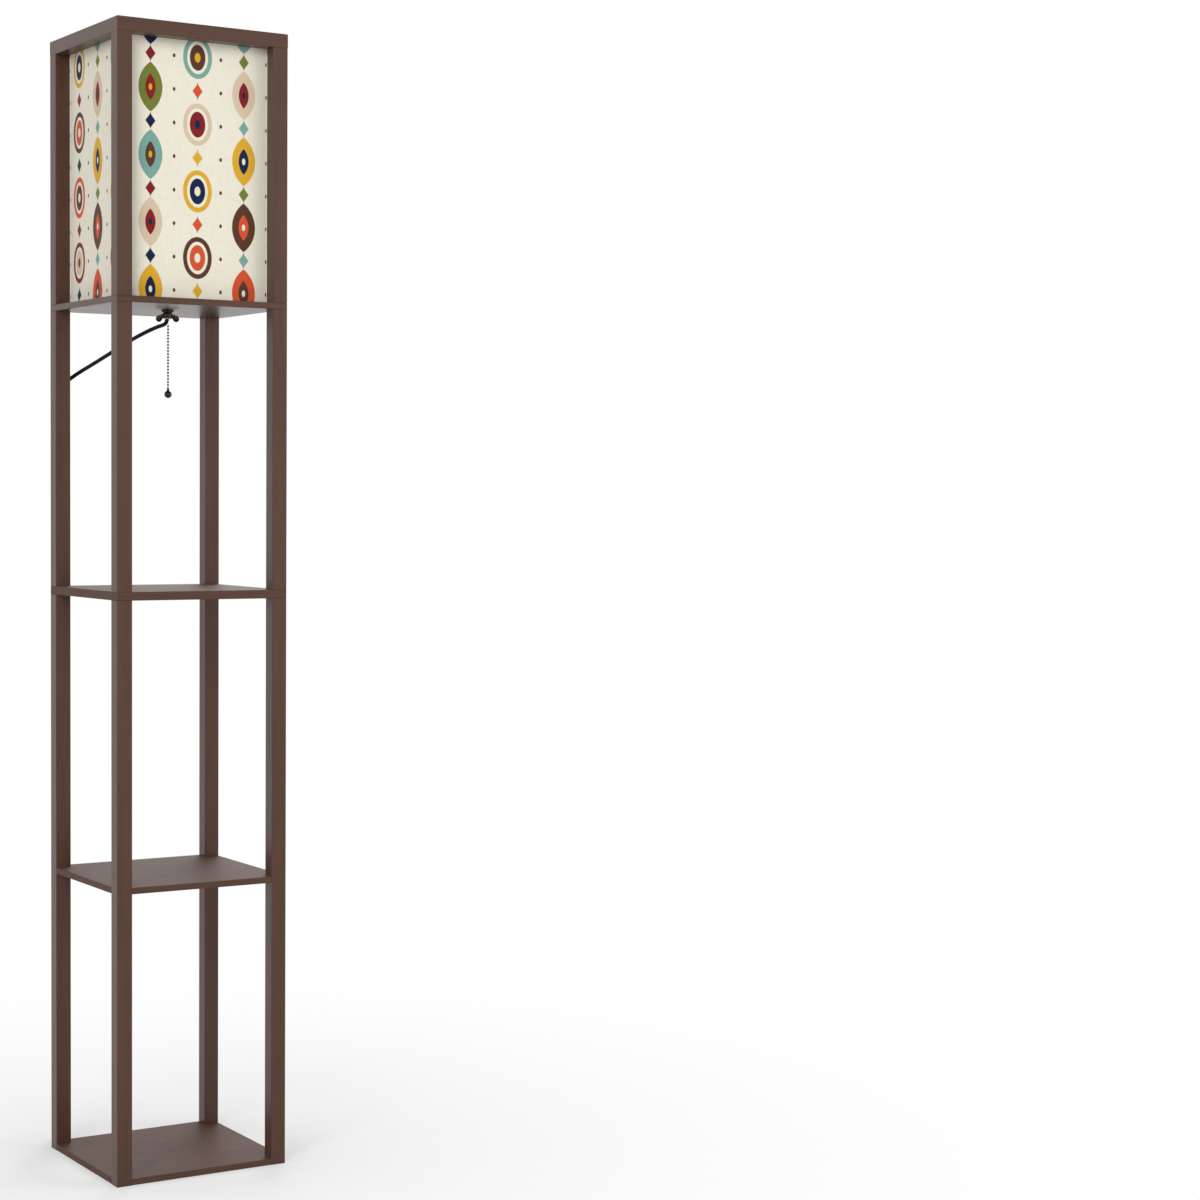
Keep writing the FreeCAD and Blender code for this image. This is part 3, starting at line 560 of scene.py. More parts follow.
def printed(graph, across, up, ground):
    """The print: ovals and almonds with lozenges on stems between them, and columns of spots."""
    column = (across / COLUMN_PITCH).floor()
    drop = (column * 0.5).math("FRACT")
    row = (up / ROW_PITCH + drop).floor()
    x = across - (column + 0.5) * COLUMN_PITCH
    y = up - (row - drop + 0.5) * ROW_PITCH
    outer, heart, dot = (colour_of(graph, column, row, names) for names in zip(*TRIOS))
    ovals = almonds = ground
    for half, paint in [(OVAL, outer), (OVAL_GAP, ground), (OVAL_HEART, heart), (OVAL_DOT, dot)]:
        ovals = graph.mix(oval(x, y, half).below(0, PRINT_BLUR), ovals, paint)
    for half, paint in [(ALMOND, outer), (ALMOND_HEART, heart)]:
        almonds = graph.mix(almond(x, y, half).below(0, PRINT_BLUR), almonds, paint)
    almonds = graph.mix(oval(x, y, ALMOND_DOT).below(0, PRINT_BLUR), almonds, dot)
    colour = graph.mix(drop * 2, ovals, almonds)

    # The lozenges stand halfway between two shapes of a column, on a stem that joins them.
    from_end = (y.size() - ROW_PITCH / 2).size()
    stem_end = ROW_PITCH / 2 - ALMOND[1] - STEM_GAP
    stem = x.size().below(STEM, PRINT_BLUR) * from_end.below(stem_end, PRINT_BLUR)
    colour = graph.mix(stem, colour, PALETTE["black"])
    small = colour_of(graph, column, (up / ROW_PITCH + drop + 0.5).floor(), SMALLS)
    lozenge = x.size() / LOZENGE[0] + from_end / LOZENGE[1]
    colour = graph.mix(lozenge.below(1.0, 2 * PRINT_BLUR / LOZENGE[0]), colour, small)

    between_columns = (x.size() - COLUMN_PITCH / 2).size()
    nearest = y.size().math("MINIMUM", from_end)
    spot = oval(between_columns, nearest, SPOT).below(0, PRINT_BLUR)
    return graph.mix(spot, colour, PALETTE["brown"])


def canvas(name, along_x):
    """Woven canvas with the print. The cloth runs along X or Y, and up."""
    graph = Graph(name)
    across = (graph.x if along_x else graph.y + COLUMN_PITCH) + PRINT_SHIFT
    up = graph.z - PRINT_LIFT
    warp = (across * (math.pi / THREAD)).sine().size()
    weft = (up * (math.pi / THREAD)).sine().size()
    cross = ((across / THREAD).floor() + (up / THREAD).floor()) * 0.5
    over = cross.math("FRACT") * 2
    height = warp * over + weft * (graph.number(1) - over)
    slub_up = graph.noise(graph.stretched((1.1, 1.1, 0.05)), detail=2)
    slub_across = graph.noise(graph.stretched((0.05, 0.05, 1.1)), detail=2)
    slub = slub_up * 0.5 + slub_across * 0.5
    ground = graph.mix(slub, linear(231, 224, 203), linear(246, 241, 226))
    wander = (graph.noise(graph.place, scale=0.9, detail=1) - 0.5) * 0.5
    colour = printed(graph, across + wander, up + wander, ground)
    # The weave's low places are painted darker: painted shade between the threads. The slub adds
    # the yarn's own uneven tone.
    shade = height * 0.12 + slub * 0.14 + 0.85
    return graph.finish(
        Base_Color=graph.darker(colour, shade),
        Roughness=0.9,
        Normal=graph.bump(height * 0.7 + slub * 0.3, 0.12),
        Sheen_Weight=0.15,
        Sheen_Roughness=0.5,
        Specular_IOR_Level=0.25,
    )


def backing():
    """The smooth white film that the canvas is glued to."""
    graph = Graph("shade_backing")
    mottle = graph.noise(graph.place, scale=0.06, detail=3)
    white = graph.ramp(mottle, [(0.3, linear(232, 228, 216)), (0.7, linear(242, 239, 229))])
    return graph.finish(Base_Color=white, Roughness=0.55, Normal=graph.bump(mottle, 0.1))


def metal(name, colour, roughness, wear=0.5, scratch=0.02, stretch=(0.8, 0.8, 0.8)):
    """A plated or drawn metal with fine scratches and a cloudy polish."""
    graph = Graph(name)
    fine = graph.noise(graph.stretched(stretch), scale=1.0, detail=4)
    cloud = graph.noise(graph.place, scale=0.15, detail=3)
    dark = tuple(part * 0.75 for part in colour[:3]) + (1,)
    return graph.finish(
        Base_Color=graph.mix(cloud, dark, colour),
        Metallic=1.0,
        Roughness=fine * (roughness * wear) + roughness * (1 - wear / 2),
        Normal=graph.bump(fine, scratch),
    )


def moulded(name, colour, roughness, relief=0.03, fleck=0.15, shine=0.5):
    """A moulded plastic, rubber or fibre with a fine relief."""
    graph = Graph(name)
    fine = graph.noise(graph.place, scale=1.4, detail=3)
    cloud = graph.noise(graph.place, scale=0.08, detail=2)
    light = tuple(min(part * (1 + fleck) + 0.01 * fleck, 1) for part in colour[:3]) + (1,)
    return graph.finish(
        Base_Color=graph.mix(cloud, colour, light),
        Roughness=fine * 0.12 + roughness,
        Normal=graph.bump(fine, relief),
        Specular_IOR_Level=shine,
    )


def glass(name, tint):
    """Clear glass with faint waves from blowing."""
    graph = Graph(name)
    wave = graph.noise(graph.stretched((0.03, 0.03, 0.008)), detail=1)
    return graph.finish(
        Base_Color=tint,
        Roughness=0.0,
        IOR=1.5,
        Transmission_Weight=1.0,
        Normal=graph.bump(wave, 0.15),
    )


def phosphor():
    """The yellow coating of the light strips, faintly grained."""
    graph = Graph("filament_coating")
    grain = graph.noise(graph.place, scale=2.5, detail=2)
    yellow = graph.ramp(grain, [(0.3, linear(232, 178, 60)), (0.7, linear(246, 206, 96))])
    return graph.finish(Base_Color=yellow, Roughness=0.6, Normal=graph.bump(grain, 0.05))


def materials():
    """Every material by a short name."""
    return {
        "lacquer_x": lacquer("lacquer_x", 0),
        "lacquer_y": lacquer("lacquer_y", 1),
        "lacquer_z": lacquer("lacquer_z", 2),
        "lacquer_board": lacquer("lacquer_board", 0, roughness=0.56),
        "raw_wood": raw_wood(),
        "canvas_x": canvas("canvas_x", True),
        "canvas_y": canvas("canvas_y", False),
        "backing": backing(),
        "zinc": metal("zinc_steel", linear(196, 197, 194), 0.35),
        "nickel": metal("dark_nickel", linear(62, 56, 53), 0.17, 0.6, 0.01),
        "brass": metal("holder_brass", linear(214, 178, 110), 0.3),
        "aluminium": metal("bulb_metal", linear(214, 214, 212), 0.32, stretch=(0.3, 0.3, 2.5)),
        "wire": moulded("wire_white", linear(238, 236, 228), 0.4),
        "fibre": moulded("liner_fibre", linear(168, 140, 102), 0.8, 0.06, 0.3),
        "phenolic": moulded("black_phenolic", linear(30, 28, 27), 0.3),
        "cord": moulded("cord_black", linear(12, 11, 11), 0.45, 0.02, shine=0.2),
        "clip": moulded("clip_black", linear(34, 33, 33), 0.5),
        "glass": glass("bulb_glass", WHITE),
        "stem_glass": glass("bulb_stem_glass", (0.97, 0.99, 0.98, 1)),
        "phosphor": phosphor(),
    }


# ======== frame ========

def dress_nodes(paint):
    """Gives each CAD node that stays its material."""
    chosen = {
        "raw_wood": ["shelf_pins", "top_rail_dowels"],
        "zinc": ["middle_shelf_studs", "lamp_plate_studs", "lock_nut"],
        "brass": ["centre_contact", "terminal_screws", "pull_lever", "plug_blades"],
        "wire": ["shade_top_wire", "shade_bottom_wire"],
        "fibre": ["socket_liner"],
        "phenolic": ["switch_block", "bulb_insulator"],
        "aluminium": ["bulb_contact"],
        "stem_glass": ["bulb_stem"],
        "phosphor": ["bulb_filaments"],
        "cord": ["inner_wires"],
        "clip": ["cord_clips"],
        "lacquer_x": ["top_rail_front", "top_rail_back", "lamp_plate"],
        "lacquer_y": ["top_rail_left", "top_rail_right"],
        "lacquer_z": [name for name in nodes if "_post_" in name],
        "lacquer_board": ["bottom_board", "lower_shelf", "middle_shelf"],
    }
    for key, names in chosen.items():
        for name in names:
            mesh = nodes[name].data
            mesh.materials.clear()
            mesh.materials.append(paint[key])


# ======== shade ========

def shade_panel(side, paint):
    """One side of the box shade: canvas on its backing, its lower hem standing out a little."""
    node = f"shade_panel_{side}"
    low, high = spans(node)
    along = 0 if side in ("front", "back") else 1
    outwards = 1 if side in ("back", "right") else -1
    across = 1 - along
    face = high[across] if outwards > 0 else low[across]
    start, length = low[along] - END_REACH, high[along] - low[along] + 2 * END_REACH
    columns = round(length / CANVAS_CELL)
    rows = round((high.z - low.z) / CANVAS_CELL)
    points, slots, faces = [], [], []

    def point(column, row, inner):
        share, rise = column / columns, row / rows
        height = (high.z - low.z) * rise
        place = [0.0, 0.0, low.z + height]
        place[along] = start + length * share
        hem = HEM_SWELL * (1 - smooth((height - HEM_EDGE) / HEM_STEP))
        calm = math.sin(math.pi * share) * math.sin(math.pi * rise)
        ripple = math.sin(5.1 * share + 1.7 * rise + along) * math.sin(2.3 * rise + 4 * share)
        depth = SLACK * calm * (ripple - 1) + (-CANVAS if inner else hem)
        place[across] = face + outwards * (PRESSED + depth)
        return place

    wide = columns + 1
    layer = wide * (rows + 1)
    for inner in (0, 1):
        for row in range(rows + 1):
            for column in range(columns + 1):
                points.append(point(column, row, inner))
        for row in range(rows):
            for column in range(columns):
                k = inner * layer + row * wide + column
                faces.append((k, k + 1, k + wide + 1, k + wide))
                slots.append(inner)
    edge = list(range(columns))
    edge += [row * wide + columns for row in range(rows)]
    edge += [rows * wide + column for column in range(columns, 0, -1)]
    edge += [row * wide for row in range(rows, 0, -1)]
    for k, here in enumerate(edge):
        after = edge[(k + 1) % len(edge)]
        faces.append((here, after, after + layer, here + layer))
        slots.append(0)
    cloth = paint["canvas_x"] if along == 0 else paint["canvas_y"]
    panel = add_mesh(f"shade_cloth_{side}", points, faces, [cloth, paint["backing"]], slots, 50)
    stand_for(panel, "frame", "shade_canvas", node)


# ======== chain, nuts and holder ========

def bead_string(node, body, first, count, link_top, paint):
    """Round hollow beads with small collars, threaded on the link wire between them."""
    upper = [(COLLAR_RADIUS, COLLAR_FOOT), (COLLAR_RADIUS, COLLAR_END), (LINK_RADIUS, COLLAR_END)]
    lower = [(radius, -height) for radius, height in reversed(upper)]
    ball = arc((0, 0), BEAD_RADIUS, -math.pi / 2, math.pi / 2, 14)
    bead = lower + [point for point in ball if point[0] > COLLAR_RADIUS] + upper
    profile = []
    for k in range(count):
        profile += [(radius, first + k * BEAD_PITCH + height) for radius, height in bead]
    top = max(link_top, profile[-1][1])
    profile = [(0, profile[0][1]), *profile, (LINK_RADIUS, top), (0, top)]
    centre = turned(node)[3]
    beads = lathe(f"{node}_beads", profile, paint["nickel"], centre, 20, sharp=40)
    stand_for(beads, body, "dark_nickel", node)


def chains(paint):
    """Each stretch of the bead chain, in the place of its plain one."""
    foot, top, _, _ = turned("pull_chain")
    count = round((top - foot - BEAD_RADIUS) / BEAD_PITCH)
    bead_string("pull_chain", "hanging_chain", foot + BEAD_RADIUS, count, top, paint)
    foot, top, _, _ = turned("chain_first_bead")
    bead_string("chain_first_bead", "chain_swivel", (foot + top) / 2, 1, 0, paint)
    foot, top, _, _ = turned("chain_top_length")
    count = int((top - foot - BEAD_RADIUS) / BEAD_PITCH)
    bead_string("chain_top_length", "pull_switch", foot + BEAD_RADIUS, count, top, paint)


def chain_ball(paint):
    """The ball that a hand pulls, with a fine seam and the cup that grips the last bead."""
    foot, top, radius, centre = turned("chain_ball")
    middle = foot + radius
    profile = [(0, foot)]
    for k in range(1, BALL_RINGS):
        lean = math.pi * (k / BALL_RINGS - 0.5)
        seam = SEAM_DEPTH * math.exp(-((k - BALL_RINGS / 2) / SEAM_RINGS) ** 2)
        reach = (radius - seam) * math.cos(lean)
        if lean > 0 and reach < CUP_START:
            break
        profile.append((reach, middle + radius * math.sin(lean)))
    crown = middle + radius
    profile += [
        (2.3, crown - 0.4), (1.75, crown - 0.1), (1.7, crown + 0.6), (1.95, crown + 1.2),
        (2.0, top - 0.5), (1.85, top), (1.4, top), (1.3, top - 0.5), (0, top - 0.7),
    ]
    ball = lathe("pull_ball", profile, paint["nickel"], centre, 40)
    stand_for(ball, "hanging_chain", "dark_nickel", "chain_ball")


def petal(top, heading):
    """One wing of the nut: an upright leaf, hollowed on both sides, from the hub to its tip."""
    level, fall = math.cos(WING_DROOP), math.sin(WING_DROOP)
    end_radius = WING_WIDTH / 2
    centre = (WING_REACH - end_radius) / level
    first, last = WING_INSET / level, centre + end_radius
    points = []
    for ring in range(WING_RINGS + 1):
        # The rings stand closer together towards the tip.
        out = first + (last - first) * (1 - (1 - ring / WING_RINGS) ** 1.6)
        grow = smooth((out - first) / (centre - first))
        past = max(out - centre, 0)
        if past:
            half = math.sqrt(max(end_radius ** 2 - past ** 2, 0))
        else:
            half = (WING_ROOT + (WING_WIDTH - WING_ROOT) * grow) / 2
        for k in range(2 * WING_LEVELS):
            up = -half * math.cos(math.pi * k / WING_LEVELS)
            from_edge = end_radius - math.hypot(past, up) if past else half - abs(up)
            side = WING_THICK / 2 * between(WING_RIM, max(from_edge, 0))
            if k >= WING_LEVELS:
                side = -side
            along = out - up * math.tan(WING_DROOP) * (1 - grow)
            x, z = along * level + up * fall, up * level - along * fall
            points.append((
                x * math.cos(heading) - side * math.sin(heading),
                x * math.sin(heading) + side * math.cos(heading),
                top - WING_DROP + z,
            ))
    faces = ring_faces(WING_RINGS + 1, 2 * WING_LEVELS)
    faces.append(tuple(range(2 * WING_LEVELS)))
    return points, faces


def wing_nut(paint):
    """The nut under the plate: a domed hub with two wings like petals."""
    top = turned("wing_nut")[1]
    foot = top - HUB_HEIGHT
    hub = [
        (HUB_BORE, foot), (HUB_RADIUS - 0.9, foot), (HUB_RADIUS - 0.2, foot + 1.5),
        (HUB_RADIUS, top - 2.0), (HUB_RADIUS, top), (HUB_BORE, top),
    ]
    body = lathe("wing_nut_hub", rounded(hub, 0.7), paint["nickel"], around=48)
    stand_for(body, "wing_nut_body", "dark_nickel", "wing_nut")
    for number in (1, 2):
        points, faces = petal(top, WING_HEADING + math.pi * (number - 1))
        wing = add_mesh(f"wing_nut_petal_{number}", points, faces, [paint["nickel"]], sharp=60)
        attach(wing, "wing_nut_body")


def washers(paint):
    """The clamp washer, whose lower edge is cut off, and the plain washer on the plate."""
    for node, body, slot, material, cut, soft in [
        ("clamp_washer", "clamp", "dark_nickel", paint["nickel"], 1.2, 0.5),
        ("plate_washer", "frame", "zinc_steel", paint["zinc"], 0, 0.25),
    ]:
        foot, top, radius, _ = turned(node)
        edge = [(radius - cut, foot), (radius, foot + cut)] if cut else [(radius, foot)]
        outline = [(HUB_BORE, foot), *edge, (radius, top), (HUB_BORE, top)]
        piece = lathe(f"{node}_turned", rounded(outline, soft), material)
        stand_for(piece, body, slot, node)


def nipple(paint):
    """The hollow threaded tube that clamps the holder to the plate."""
    foot, top, radius, _ = turned("threaded_nipple")
    rows = int((top - foot) / NIPPLE_STEP)
    wall = [(radius, foot + (top - foot) * k / rows) for k in range(rows + 1)]
    end = radius - NIPPLE_BEVEL
    profile = [(NIPPLE_BORE, foot), (end, foot), *wall[3:-3], (end, top), (NIPPLE_BORE, top)]
    thread = (NIPPLE_PITCH, NIPPLE_DEPTH, foot + 0.1, top - 0.1)
    piece = lathe("nipple_thread", profile, paint["zinc"], around=40, sharp=60, thread=thread)
    stand_for(piece, "frame", "zinc_steel", "threaded_nipple")


def holder(paint):
    """The lamp holder's brass cap and shell, and the screw shell inside."""
    foot, top, radius, _ = turned("socket_cap")
    sheet, neck = HOLDER_SHEET, HOLDER_NECK
    outline = [
        (HUB_BORE, foot), (neck, foot), (neck, foot + 8), (neck + 3, foot + 9.6),
        (radius - 1.4, foot + 12.6), (radius, foot + 15), (radius, top), (radius - sheet, top),
        (radius - sheet, foot + 15.2), (radius - 2.2, foot + 13.4), (neck + 2.4, foot + 10.4),
        (HUB_BORE, foot + 8.8),
    ]
    cap = lathe("holder_cap", rounded(outline, 1.2, 5), paint["brass"], around=72)
    stand_for(cap, "frame", "holder_brass", "socket_cap")

    foot, top, radius, _ = turned("socket_shell")
    wall = radius - sheet
    profile = [(wall - sheet, foot), (wall, foot)]
    for groove in HOLDER_GROOVES:
        for step in range(9):
            reach = wall + RING_SWELL * math.sin(math.pi * step / 8)
            profile.append((reach, foot + groove + RING_HEIGHT * step / 8))
    profile += arc((wall, top - sheet), sheet, -math.pi / 2, math.pi / 2, 8)
    profile.append((wall - sheet, top))
    shell = lathe("holder_shell", profile, paint["brass"], around=72)
    stand_for(shell, "frame", "holder_brass", "socket_shell")

    screw = thread_wall("holder_screw_shell", "screw_shell", 0.35, paint["brass"])
    stand_for(screw, "frame", "holder_brass", "screw_shell")


def thread_wall(name, node, depth, material):
    """A thin shell pressed into a round thread, as on a bulb cap."""
    foot, top, radius, _ = turned(node)
    rows = int((top - foot) / SCREW_STEP)
    heights = [foot + (top - foot) * k / rows for k in range(rows + 1)]
    outside = [(radius, height) for height in heights]
    inside = [(radius - SCREW_SHEET, height) for height in reversed(heights)]
    thread = (SCREW_PITCH, depth, foot + SCREW_PLAIN, top - SCREW_PLAIN)
    return lathe(name, outside + inside, material, around=72, thread=thread)


# ======== bulb ========

def bulb(paint):
    """The clear bulb: its glass, blown in one round, and its threaded cap."""
    foot, top, globe_radius, _ = turned("bulb_glass")
    globe = top - globe_radius
    profile = []
    for inset in (0.0, BULB_WALL):
        radius, neck = globe_radius - inset, BULB_NECK - inset
        round_part = arc((0, globe), radius, -BULB_SHOULDER, math.pi / 2, 24)
        reach, height = round_part[0]
        side = []
        for k in range(13):
            t = k / 12
            waist = math.sin(math.pi * t) * (1.1 * (1 - t) + 0.4)
            side.append((neck + (reach - neck) * t - waist, foot + (height - foot) * t))
        side += round_part[1:]
        profile += side[::-1] if inset else side
    piece = lathe("bulb_globe", profile, paint["glass"], around=72, sharp=60)
    stand_for(piece, "bulb", "bulb_glass", "bulb_glass")
    cap = thread_wall("bulb_thread", "bulb_cap", 0.8, paint["aluminium"])
    stand_for(cap, "bulb", "bulb_metal", "bulb_cap")


# ======== cord ========

def hank_point(x, y, z):
    """A place in the hank's own plane: depth, side and height."""
    across, aside = math.cos(HANK_HEADING), math.sin(HANK_HEADING)
    return (HANK_FOOT[0] + x * across - y * aside, HANK_FOOT[1] + x * aside + y * across, z)


def hank_fold(here, there, downwards):
    """The half turn from one pass of the hank to the next."""
    (side, layer, column), (_, next_layer, next_column) = here, there
    middle = HANK_DEPTH / 2
    start, end = middle + layer * LAYER, middle + next_layer * LAYER
    centre = HANK_LOW if downwards else HANK_HIGH
    points = []
    for step in range(FOLD_POINTS):
        share = (step + 0.5) / FOLD_POINTS
        # Of two passes that cross, one changes its layer late and the other early.
        change = smooth((share - 0.55) / 0.4) if start > end else smooth(share / 0.4)
        if column and next_column:
            shift = smooth((share - 0.3) / 0.4)
        else:
            shift = smooth((share - 0.6) / 0.4) if column else smooth(share / 0.35)
        radius = start + (end - start) * change
        across, up = radius * math.cos(math.pi * share), radius * math.sin(math.pi * share)
        points.append(hank_point(
            middle + (across if side else -across),
            (column + (next_column - column) * shift) * COLUMN,
            centre + (-up if downwards else up),
        ))
    return points


def hank_route():
    """The passes of the hank and the folds between them."""
    route = []
    uneven = random.Random(11)
    for number, (side, layer, column) in enumerate(HANK_PASSES):
        x = side * HANK_DEPTH + (1 if side else -1) * layer * LAYER
        y = column * COLUMN
        downwards = number % 2 == 0
        for height in PASS_HEIGHTS if downwards else reversed(PASS_HEIGHTS):
            wander = uneven.uniform(-HANK_WANDER, HANK_WANDER)
            route.append(hank_point(x + wander, y + wander, height))
        if number < len(HANK_PASSES) - 1:
            route += hank_fold(HANK_PASSES[number], HANK_PASSES[number + 1], downwards)
    route.append(hank_point(HANK_DEPTH, 0, HANK_HIGH + 12))
    route.append(hank_point(HANK_DEPTH, 0, HANK_TOP + 2))
    return route


def even_points(line, step):
    """Points at even steps along a line."""
    out, left = [line[0].copy()], step
    for here, after in zip(line, line[1:]):
        run = (after - here).length
        way = 0.0
        while run - way >= left:
            way += left
            out.append(here.lerp(after, way / run))
            left = step
        left -= run - way
    if (line[-1] - out[-1]).length > step / 4:
        out.append(line[-1].copy())
    return out


def cord_line():
    """The cord's centreline, read from a smooth NURBS spline through its route."""
    data = bpy.data.curves.new("cord_route", "CURVE")
    data.dimensions = "3D"
    spline = data.splines.new("NURBS")
    route = CORD_ROUTE + hank_route()
    spline.points.add(len(route) - 1)
    for point, place in zip(spline.points, route):
        point.co = (*(Vector(place) * MM), 1)
    spline.order_u = 3
    spline.use_endpoint_u = True
    spline.resolution_u = 10
    curve = bpy.data.objects.new("cord_route", data)
    bpy.context.collection.objects.link(curve)
    bpy.context.view_layer.update()
    mesh = bpy.data.meshes.new_from_object(curve)
    line = [vertex.co / MM for vertex in mesh.vertices]
    bpy.data.objects.remove(curve)
    bpy.data.curves.remove(data)
    bpy.data.meshes.remove(mesh)
    return even_points(line, CORD_STEP)


def cord_section():
    """Half-width and half-thickness of the flat twin cord, point by point."""
    lobe, valley = CORD_THICK / 2, CORD_VALLEY / 2
    offset = CORD_WIDTH / 2 - lobe
    points = []
    for k in range(CORD_AROUND):
        angle = 2 * math.pi * k / CORD_AROUND
        across, up = math.cos(angle), math.sin(angle)
        if abs(across) > VALLEY_SHARE:
            points.append((math.copysign(offset, across) + lobe * across, lobe * up))
            continue
        share = across / VALLEY_SHARE
        edge = lobe * math.sqrt(1 - VALLEY_SHARE ** 2)
        depth = edge * abs(share) + valley * (1 - abs(share))
        depth += (lobe - valley) * 0.45 * math.sin(math.pi * abs(share))
        points.append((share * (offset + lobe * VALLEY_SHARE), math.copysign(depth, up)))
    return points


def cord(paint):
    """The flat twin cord from the nipple to the plug, as one tube with two conductors."""
    line = cord_line()
    section = cord_section()
    axis = Vector(hank_point(0, 1, 0)) - Vector(hank_point(0, 0, 0))
    points = []
    for k, centre in enumerate(line):
        ahead = (line[min(k + 1, len(line) - 1)] - line[max(k - 1, 0)]).normalized()
        wide = (axis - ahead * axis.dot(ahead)).normalized()
        turn = math.radians(between(CORD_TWIST, k * CORD_STEP * MM))
        wide = Matrix.Rotation(turn, 3, ahead) @ wide
        thin = ahead.cross(wide)
        points += [centre + wide * x + thin * y for x, y in section]
    faces = capped_faces(len(line), len(section))
    tube = add_mesh("cord", points, faces, [paint["cord"]], sharp=60)
    stand_for(tube, "frame", "cord_black", "power_cord", "cord_hank")
    return tube, line


def plug(paint):
    """A moulded plug: a ribbed strain relief that widens into a waisted grip."""
    low, high = spans("plug_body")
    length = high.z - low.z
    rows, around = 60, 40
    points = []
    for row in range(rows + 1):
        share = row / rows
        grow = smooth((share - GRIP_START) / GRIP_RISE)
        waist = math.sin(math.pi * max(share - WAIST_START, 0) / (1 - WAIST_START)) ** 2
        inset = END_INSET if share > END_START else 0
        if share < RIBS_END:
            wave = math.cos(2 * math.pi * share * length / RIB_PITCH)
            inset = RIB_DEPTH * (0.5 + 0.5 * wave)
        wide, thick = (
            (relief + gain * share) * (1 - grow) + grip * grow * (1 - WAIST_DEPTH * waist) - inset
            for relief, gain, grip in zip(RELIEF, RELIEF_GAIN, GRIP)
        )
        for x, y in squared_oval(wide, thick, 2 / (2 + 2.2 * grow), around):
            points.append(hank_point(HANK_DEPTH + x, y, low.z + length * share))
    piece = add_mesh("plug", points, capped_faces(rows + 1, around), [paint["cord"]], sharp=50)
    return stand_for(piece, "frame", "cord_black", "plug_body")


def tie(paint):
    """The strap round the hank's waist."""
    low, high = spans("hank_tie")
    foot, top, swell = low.z + STRAP_BEVEL, high.z - STRAP_BEVEL, STRAP_THICK / 2
    around = 72
    points = []
    rows = [(low.z, 0), (foot, swell), (top, swell), (high.z, 0), (top, -swell), (foot, -swell)]
    for z, out in rows:
        for x, y in squared_oval(STRAP_HALF[0] + out, STRAP_HALF[1] + out, 0.35, around):
            points.append(hank_point(HANK_DEPTH / 2 + x, y, z))
    faces = ring_faces(len(rows), around, True)
    piece = add_mesh("hank_strap", points, faces, [paint["clip"]], sharp=50)
    return stand_for(piece, "frame", "clip_black", "hank_tie")


def cord_and_plug(paint):
    """The cord with its plug and strap."""
    tube, line = cord(paint)
    end = plug(paint)
    strap = tie(paint)
    [point * MM for point in line]


# ======== camera, light and floor ========

def camera():
    """The camera at the photograph's viewing angle."""
    cos_yaw, sin_yaw = math.cos(CAMERA_YAW), math.sin(CAMERA_YAW)
    level = math.cos(CAMERA_PITCH)
    ahead = Vector((sin_yaw * level, cos_yaw * level, math.sin(CAMERA_PITCH)))
    right = Vector((cos_yaw, -sin_yaw, 0))
    up = right.cross(ahead)
    cos_roll, sin_roll = math.cos(CAMERA_ROLL), math.sin(CAMERA_ROLL)
    right, up = cos_roll * right + sin_roll * up, -sin_roll * right + cos_roll * up
    data = bpy.data.cameras.new("photo_camera")
    data.lens = CAMERA_LENS
    data.sensor_width = CAMERA_SENSOR
    seen = bpy.data.objects.new("photo_camera", data)
    turn = Matrix((right, up, -ahead)).transposed()
    seen.matrix_world = Matrix.Translation(CAMERA_PLACE) @ turn.to_4x4()
    bpy.context.collection.objects.link(seen)
    bpy.context.scene.camera = seen


def lights():
    """The softboxes, each turned towards the lamp."""
    for name, place, target, side, power in SOFTBOXES:
        data = bpy.data.lights.new(name, "AREA")
        data.shape = "SQUARE"
        data.size = side
        data.energy = power
        light = bpy.data.objects.new(name, data)
        aim = (Vector(target) - Vector(place)).to_track_quat("-Z", "Y")
        light.matrix_world = Matrix.Translation(place) @ aim.to_matrix().to_4x4()
        bpy.context.collection.objects.link(light)


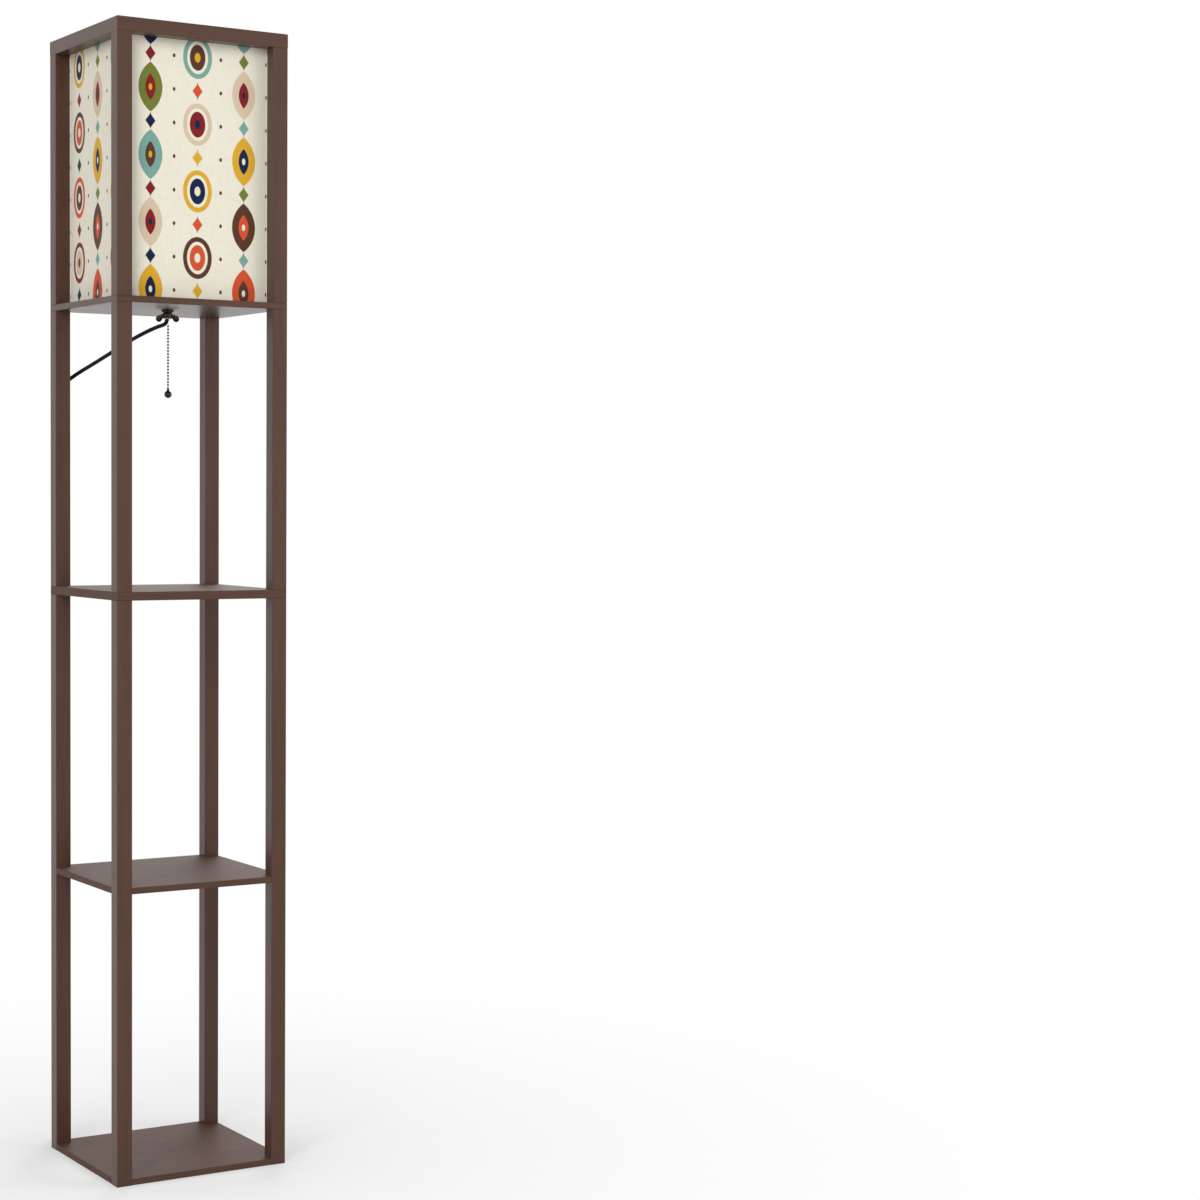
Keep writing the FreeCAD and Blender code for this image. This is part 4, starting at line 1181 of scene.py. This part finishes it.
def seen_white(graph):
    """1 for rays that meet a white background: seen, mirrored or through glass."""
    path = graph.node("ShaderNodeLightPath")
    seen = Number(graph, path.outputs["Is Camera Ray"])
    for name in ("Is Glossy Ray", "Is Transmission Ray"):
        seen = seen.math("MAXIMUM", path.outputs[name])
    return seen


def world():
    """Soft light all round, seen as white."""
    graph = Graph("studio", bpy.data.worlds.new("studio"))
    strength = seen_white(graph) * (1 - AMBIENT) + AMBIENT
    background = graph.node("ShaderNodeBackground", {"Color": WHITE, "Strength": strength})
    bpy.context.scene.world = graph.end_in(background, "ShaderNodeOutputWorld")


def floor():
    """A pale floor that keeps the lamp's shadow and turns white further out."""
    mesh = bpy.data.meshes.new("floor")
    half = FLOOR_HALF
    corners = [(-half, -half, 0), (half, -half, 0), (half, half, 0), (-half, half, 0)]
    mesh.from_pydata(corners, [], [(0, 1, 2, 3)])
    graph = Graph("floor")
    out = (graph.x.squared() + graph.y.squared()).root()
    grain = graph.noise(graph.place, scale=0.02, detail=4)
    colour = graph.ramp(grain, [(0.3, (0.86, 0.86, 0.855, 1)), (0.7, (0.88, 0.88, 0.875, 1))])
    surface = graph.node("ShaderNodeBsdfDiffuse", {"Color": colour})
    white = graph.node("ShaderNodeEmission", {"Strength": 1.0})
    fade = ((out - FADE_START) / FADE_LENGTH).clamped().root() * (1 - FADE_FROM) + FADE_FROM
    shaders = {0: fade * seen_white(graph), 1: surface.outputs[0], 2: white.outputs[0]}
    mesh.materials.append(graph.end_in(graph.node("ShaderNodeMixShader", shaders)))
    piece = bpy.data.objects.new("floor", mesh)
    piece.location.z = -FLOOR_DROP
    bpy.context.collection.objects.link(piece)


def main():
    bpy.context.scene.view_settings.view_transform = "Standard"
    camera()
    paint = materials()
    cord_and_plug(paint)
    dress_nodes(paint)
    for side in ("front", "back", "left", "right"):
        shade_panel(side, paint)
    chains(paint)
    chain_ball(paint)
    wing_nut(paint)
    washers(paint)
    nipple(paint)
    holder(paint)
    bulb(paint)
    lights()
    world()
    floor()


main()
